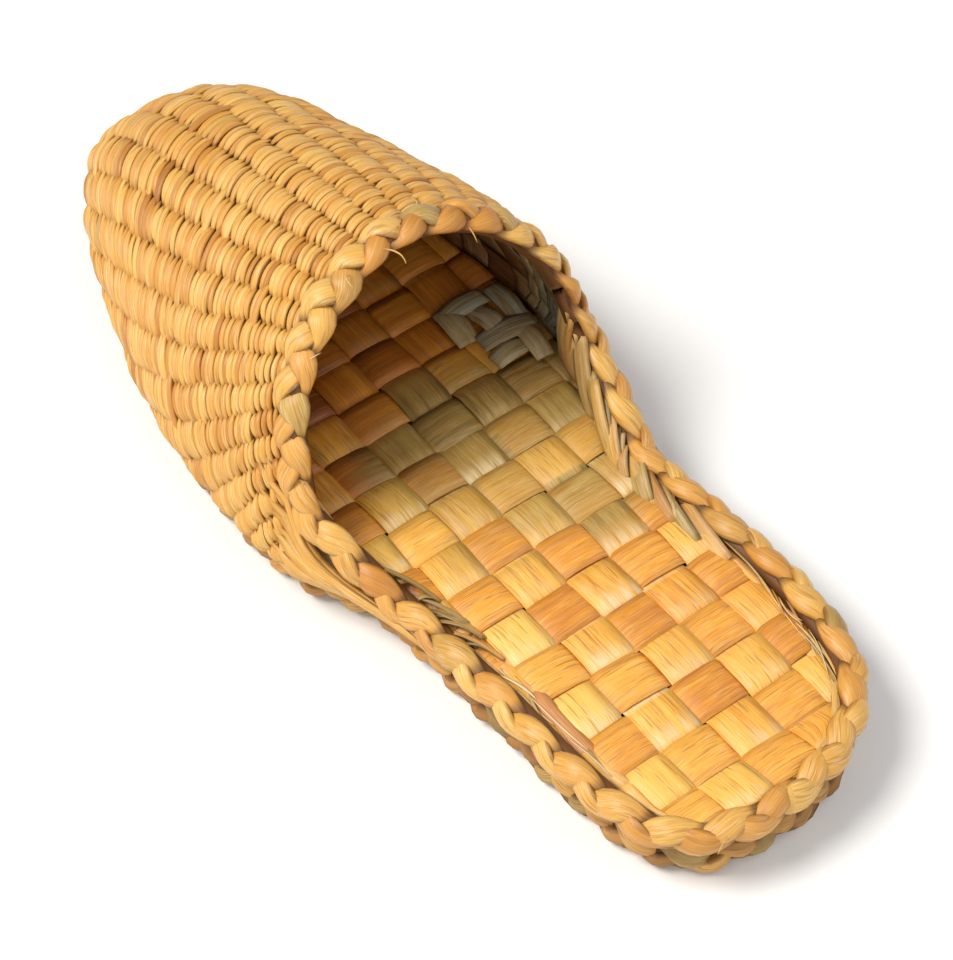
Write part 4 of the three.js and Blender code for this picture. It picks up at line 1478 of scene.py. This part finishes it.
class SLIPPER_OT_outsole(PieceOperator, bpy.types.Operator):
    """Braid the sole's edge and the rows under it"""

    bl_idname = "slipper.outsole"
    bl_label = "Outsole"

    def make(self, sizes, colours):
        rng = np.random.default_rng(SEED + 3)
        bundle = Bundle()
        edge = smooth_loop(outline(400, SOLE_INSET, 0), 400)
        out = -left_of(directions(edge))
        up = np.tile((0.0, 0.0, 1.0), (len(edge), 1))
        floor_at = underside(edge[:, 1])
        middle = edge - out * 3.4
        middle[:, 2] = (floor_at + SOLE_THICKNESS) / 2
        tall = (SOLE_THICKNESS - floor_at) / SOLE_THICKNESS

        def floor(points):
            return underside(points[:, 1])

        add_core(bundle, middle - out * 1.5, 3.2)
        add_braid(
            bundle, middle, up, out, sway=2.35 * tall, dive=1.55, width=5.4 * tall, thick=4.0,
            pitch=sizes.sole_pitch / MM, rng=rng, tones=(0.3, 0.95), sides=12, floor=floor,
            age=0.6, unripe=0.45,
        )
        for rows_in, width, count in SOLE_ROWS:
            ring = outline(400, SOLE_INSET, 0)
            spine_y = to_station(np.clip(to_share(ring[:, 1]), SPINE_START, SPINE_END))
            spine = np.stack([middle_at(spine_y), spine_y, 0 * spine_y], axis=1)
            ring = ring + (spine - ring) * (rows_in / 3)
            ring = smooth_loop(ring, count, passes=2)
            ring[:, 2] = underside(ring[:, 1]) + 2.6
            inward = unit(left_of(directions(ring)))
            facing = np.tile((0.0, 0.0, -1.0), (len(ring), 1))
            add_braid(
                bundle, ring, inward, facing, sway=width * 0.24, dive=1.0, width=width * 0.52,
                thick=3.4, pitch=12.0, rng=rng, tones=(0.3, 0.9), sides=8, floor=floor, age=0.6,
            )
        plate = outline(160, SOLE_INSET, 4.0)
        add_plate(bundle, plate, underside(plate[:, 1]) + 3.0, SOLE_THICKNESS - 0.2)
        stops = [
            (0.0, blend_colour(colours.pale, colours.gold, 0.6)),
            (0.4, blend_colour(colours.gold, colours.olive, 0.15)),
            (0.7, blend_colour(colours.ochre, colours.olive, 0.2)),
            (1.0, (0.28, 0.12, 0.02)),
        ]
        finish_piece(bundle, "braided_sole", "outsole", straw_material(
            "sole straw", stops, dark=(0.10, 0.055, 0.02), stain=(0.60, 0.56, 0.36),
            fibre=(0.22, 0.10, 0.02), wear_and_glint=(0.92, 0.74, 0.42), gloss=0.55, stain_amount=0.55,
            fibre_amount=0.6, edge_shade=0.6,
        ))


# The soft lights, which all point at the slipper: name, place, size, power and colour
LIGHTS = (
    ("key", (-0.75, 0.35, 1.25), 0.8, 23, (1.0, 0.97, 0.92)),
    ("fill", (0.9, -0.7, 0.9), 1.4, 5, (0.95, 0.97, 1.0)),
    ("front", (-0.5, -1.1, 0.8), 1.0, 5, (1.0, 0.98, 0.95)),
)
LIT_POINT = (0, 0, 0.03)

# The camera that was fitted to the photo
CAMERA_PLACE = (-0.2465, -0.3897, 0.5377)
CAMERA_TARGET = (-0.0009, -0.0222, 0.020)
CAMERA_UP = (0.4506, 0.5739, 0.6838)
SENSOR_HEIGHT = 36
LENS = 114


class SLIPPER_OT_stage(bpy.types.Operator):
    """Set the pale floor, the soft lights and the camera"""

    bl_idname = "slipper.stage"
    bl_label = "Stage"

    def execute(self, context):
        deselect_all()
        bpy.ops.mesh.primitive_plane_add(size=8, location=(0, 0, 0))
        floor = context.object
        floor.name = "floor"
        s = Shade("pale floor")
        place = s.node("ShaderNodeTexCoord", out=3)
        mottle = s.noise(place, scale=3.0)
        colour = s.mix(mottle, (0.86, 0.86, 0.85), (0.9, 0.9, 0.89))
        floor.data.materials.append(s.surface(colour, 0.85, mottle, 0.02, 0.001, {}))

        for name, place, size, power, tint in LIGHTS:
            data = bpy.data.lights.new(name, "AREA")
            data.shape = "DISK"
            data.size = size
            data.energy = power
            data.color = tint
            lamp = bpy.data.objects.new(name, data)
            lamp.location = place
            facing = Vector(LIT_POINT) - Vector(place)
            lamp.rotation_euler = facing.to_track_quat("-Z", "Y").to_euler()
            context.scene.collection.objects.link(lamp)

        world = bpy.data.worlds.new("soft room")
        world.use_nodes = True
        glow = world.node_tree.nodes["Background"]
        glow.inputs["Color"].default_value = (0.95, 0.96, 1.0, 1)
        glow.inputs["Strength"].default_value = 0.38
        context.scene.world = world
        context.scene.view_settings.view_transform = "Standard"

        data = bpy.data.cameras.new("camera")
        data.sensor_fit = "VERTICAL"
        data.sensor_height = SENSOR_HEIGHT
        data.lens = LENS
        data.clip_start = 0.01
        camera = bpy.data.objects.new("camera", data)
        eye = Vector(CAMERA_PLACE)
        ahead = (Vector(CAMERA_TARGET) - eye).normalized()
        right = ahead.cross(Vector(CAMERA_UP)).normalized()
        top = right.cross(ahead)
        turn = Matrix((right, top, -ahead)).transposed()
        camera.matrix_world = Matrix.Translation(eye) @ turn.to_4x4()
        context.scene.collection.objects.link(camera)
        context.scene.camera = camera
        return {"FINISHED"}


class SLIPPER_PT_panel(bpy.types.Panel):
    bl_idname = "SLIPPER_PT_panel"
    bl_label = "Straw slipper"
    bl_space_type = "VIEW_3D"
    bl_region_type = "UI"
    bl_category = "Slipper"

    def draw(self, context):
        layout = self.layout
        for group in (context.scene.slipper_sizes, context.scene.slipper_colours):
            box = layout.box()
            for key in group.__annotations__:
                box.prop(group, key)
        for operator in PIECES:
            layout.operator(operator.bl_idname)


PIECES = (
    SLIPPER_OT_stage,
    SLIPPER_OT_outsole,
    SLIPPER_OT_insole,
    SLIPPER_OT_upper,
    SLIPPER_OT_rim,
)
CLASSES = (SlipperSizes, SlipperColours, *PIECES, SLIPPER_PT_panel)


def register():
    for item in CLASSES:
        bpy.utils.register_class(item)
    bpy.types.Scene.slipper_sizes = PointerProperty(type=SlipperSizes)
    bpy.types.Scene.slipper_colours = PointerProperty(type=SlipperColours)


def unregister():
    del bpy.types.Scene.slipper_colours
    del bpy.types.Scene.slipper_sizes
    for item in reversed(CLASSES):
        bpy.utils.unregister_class(item)


def main():
    register()
    bpy.ops.slipper.stage()
    bpy.ops.slipper.outsole()
    bpy.ops.slipper.insole()
    bpy.ops.slipper.upper()
    bpy.ops.slipper.rim()


if __name__ == "__main__":
    main()
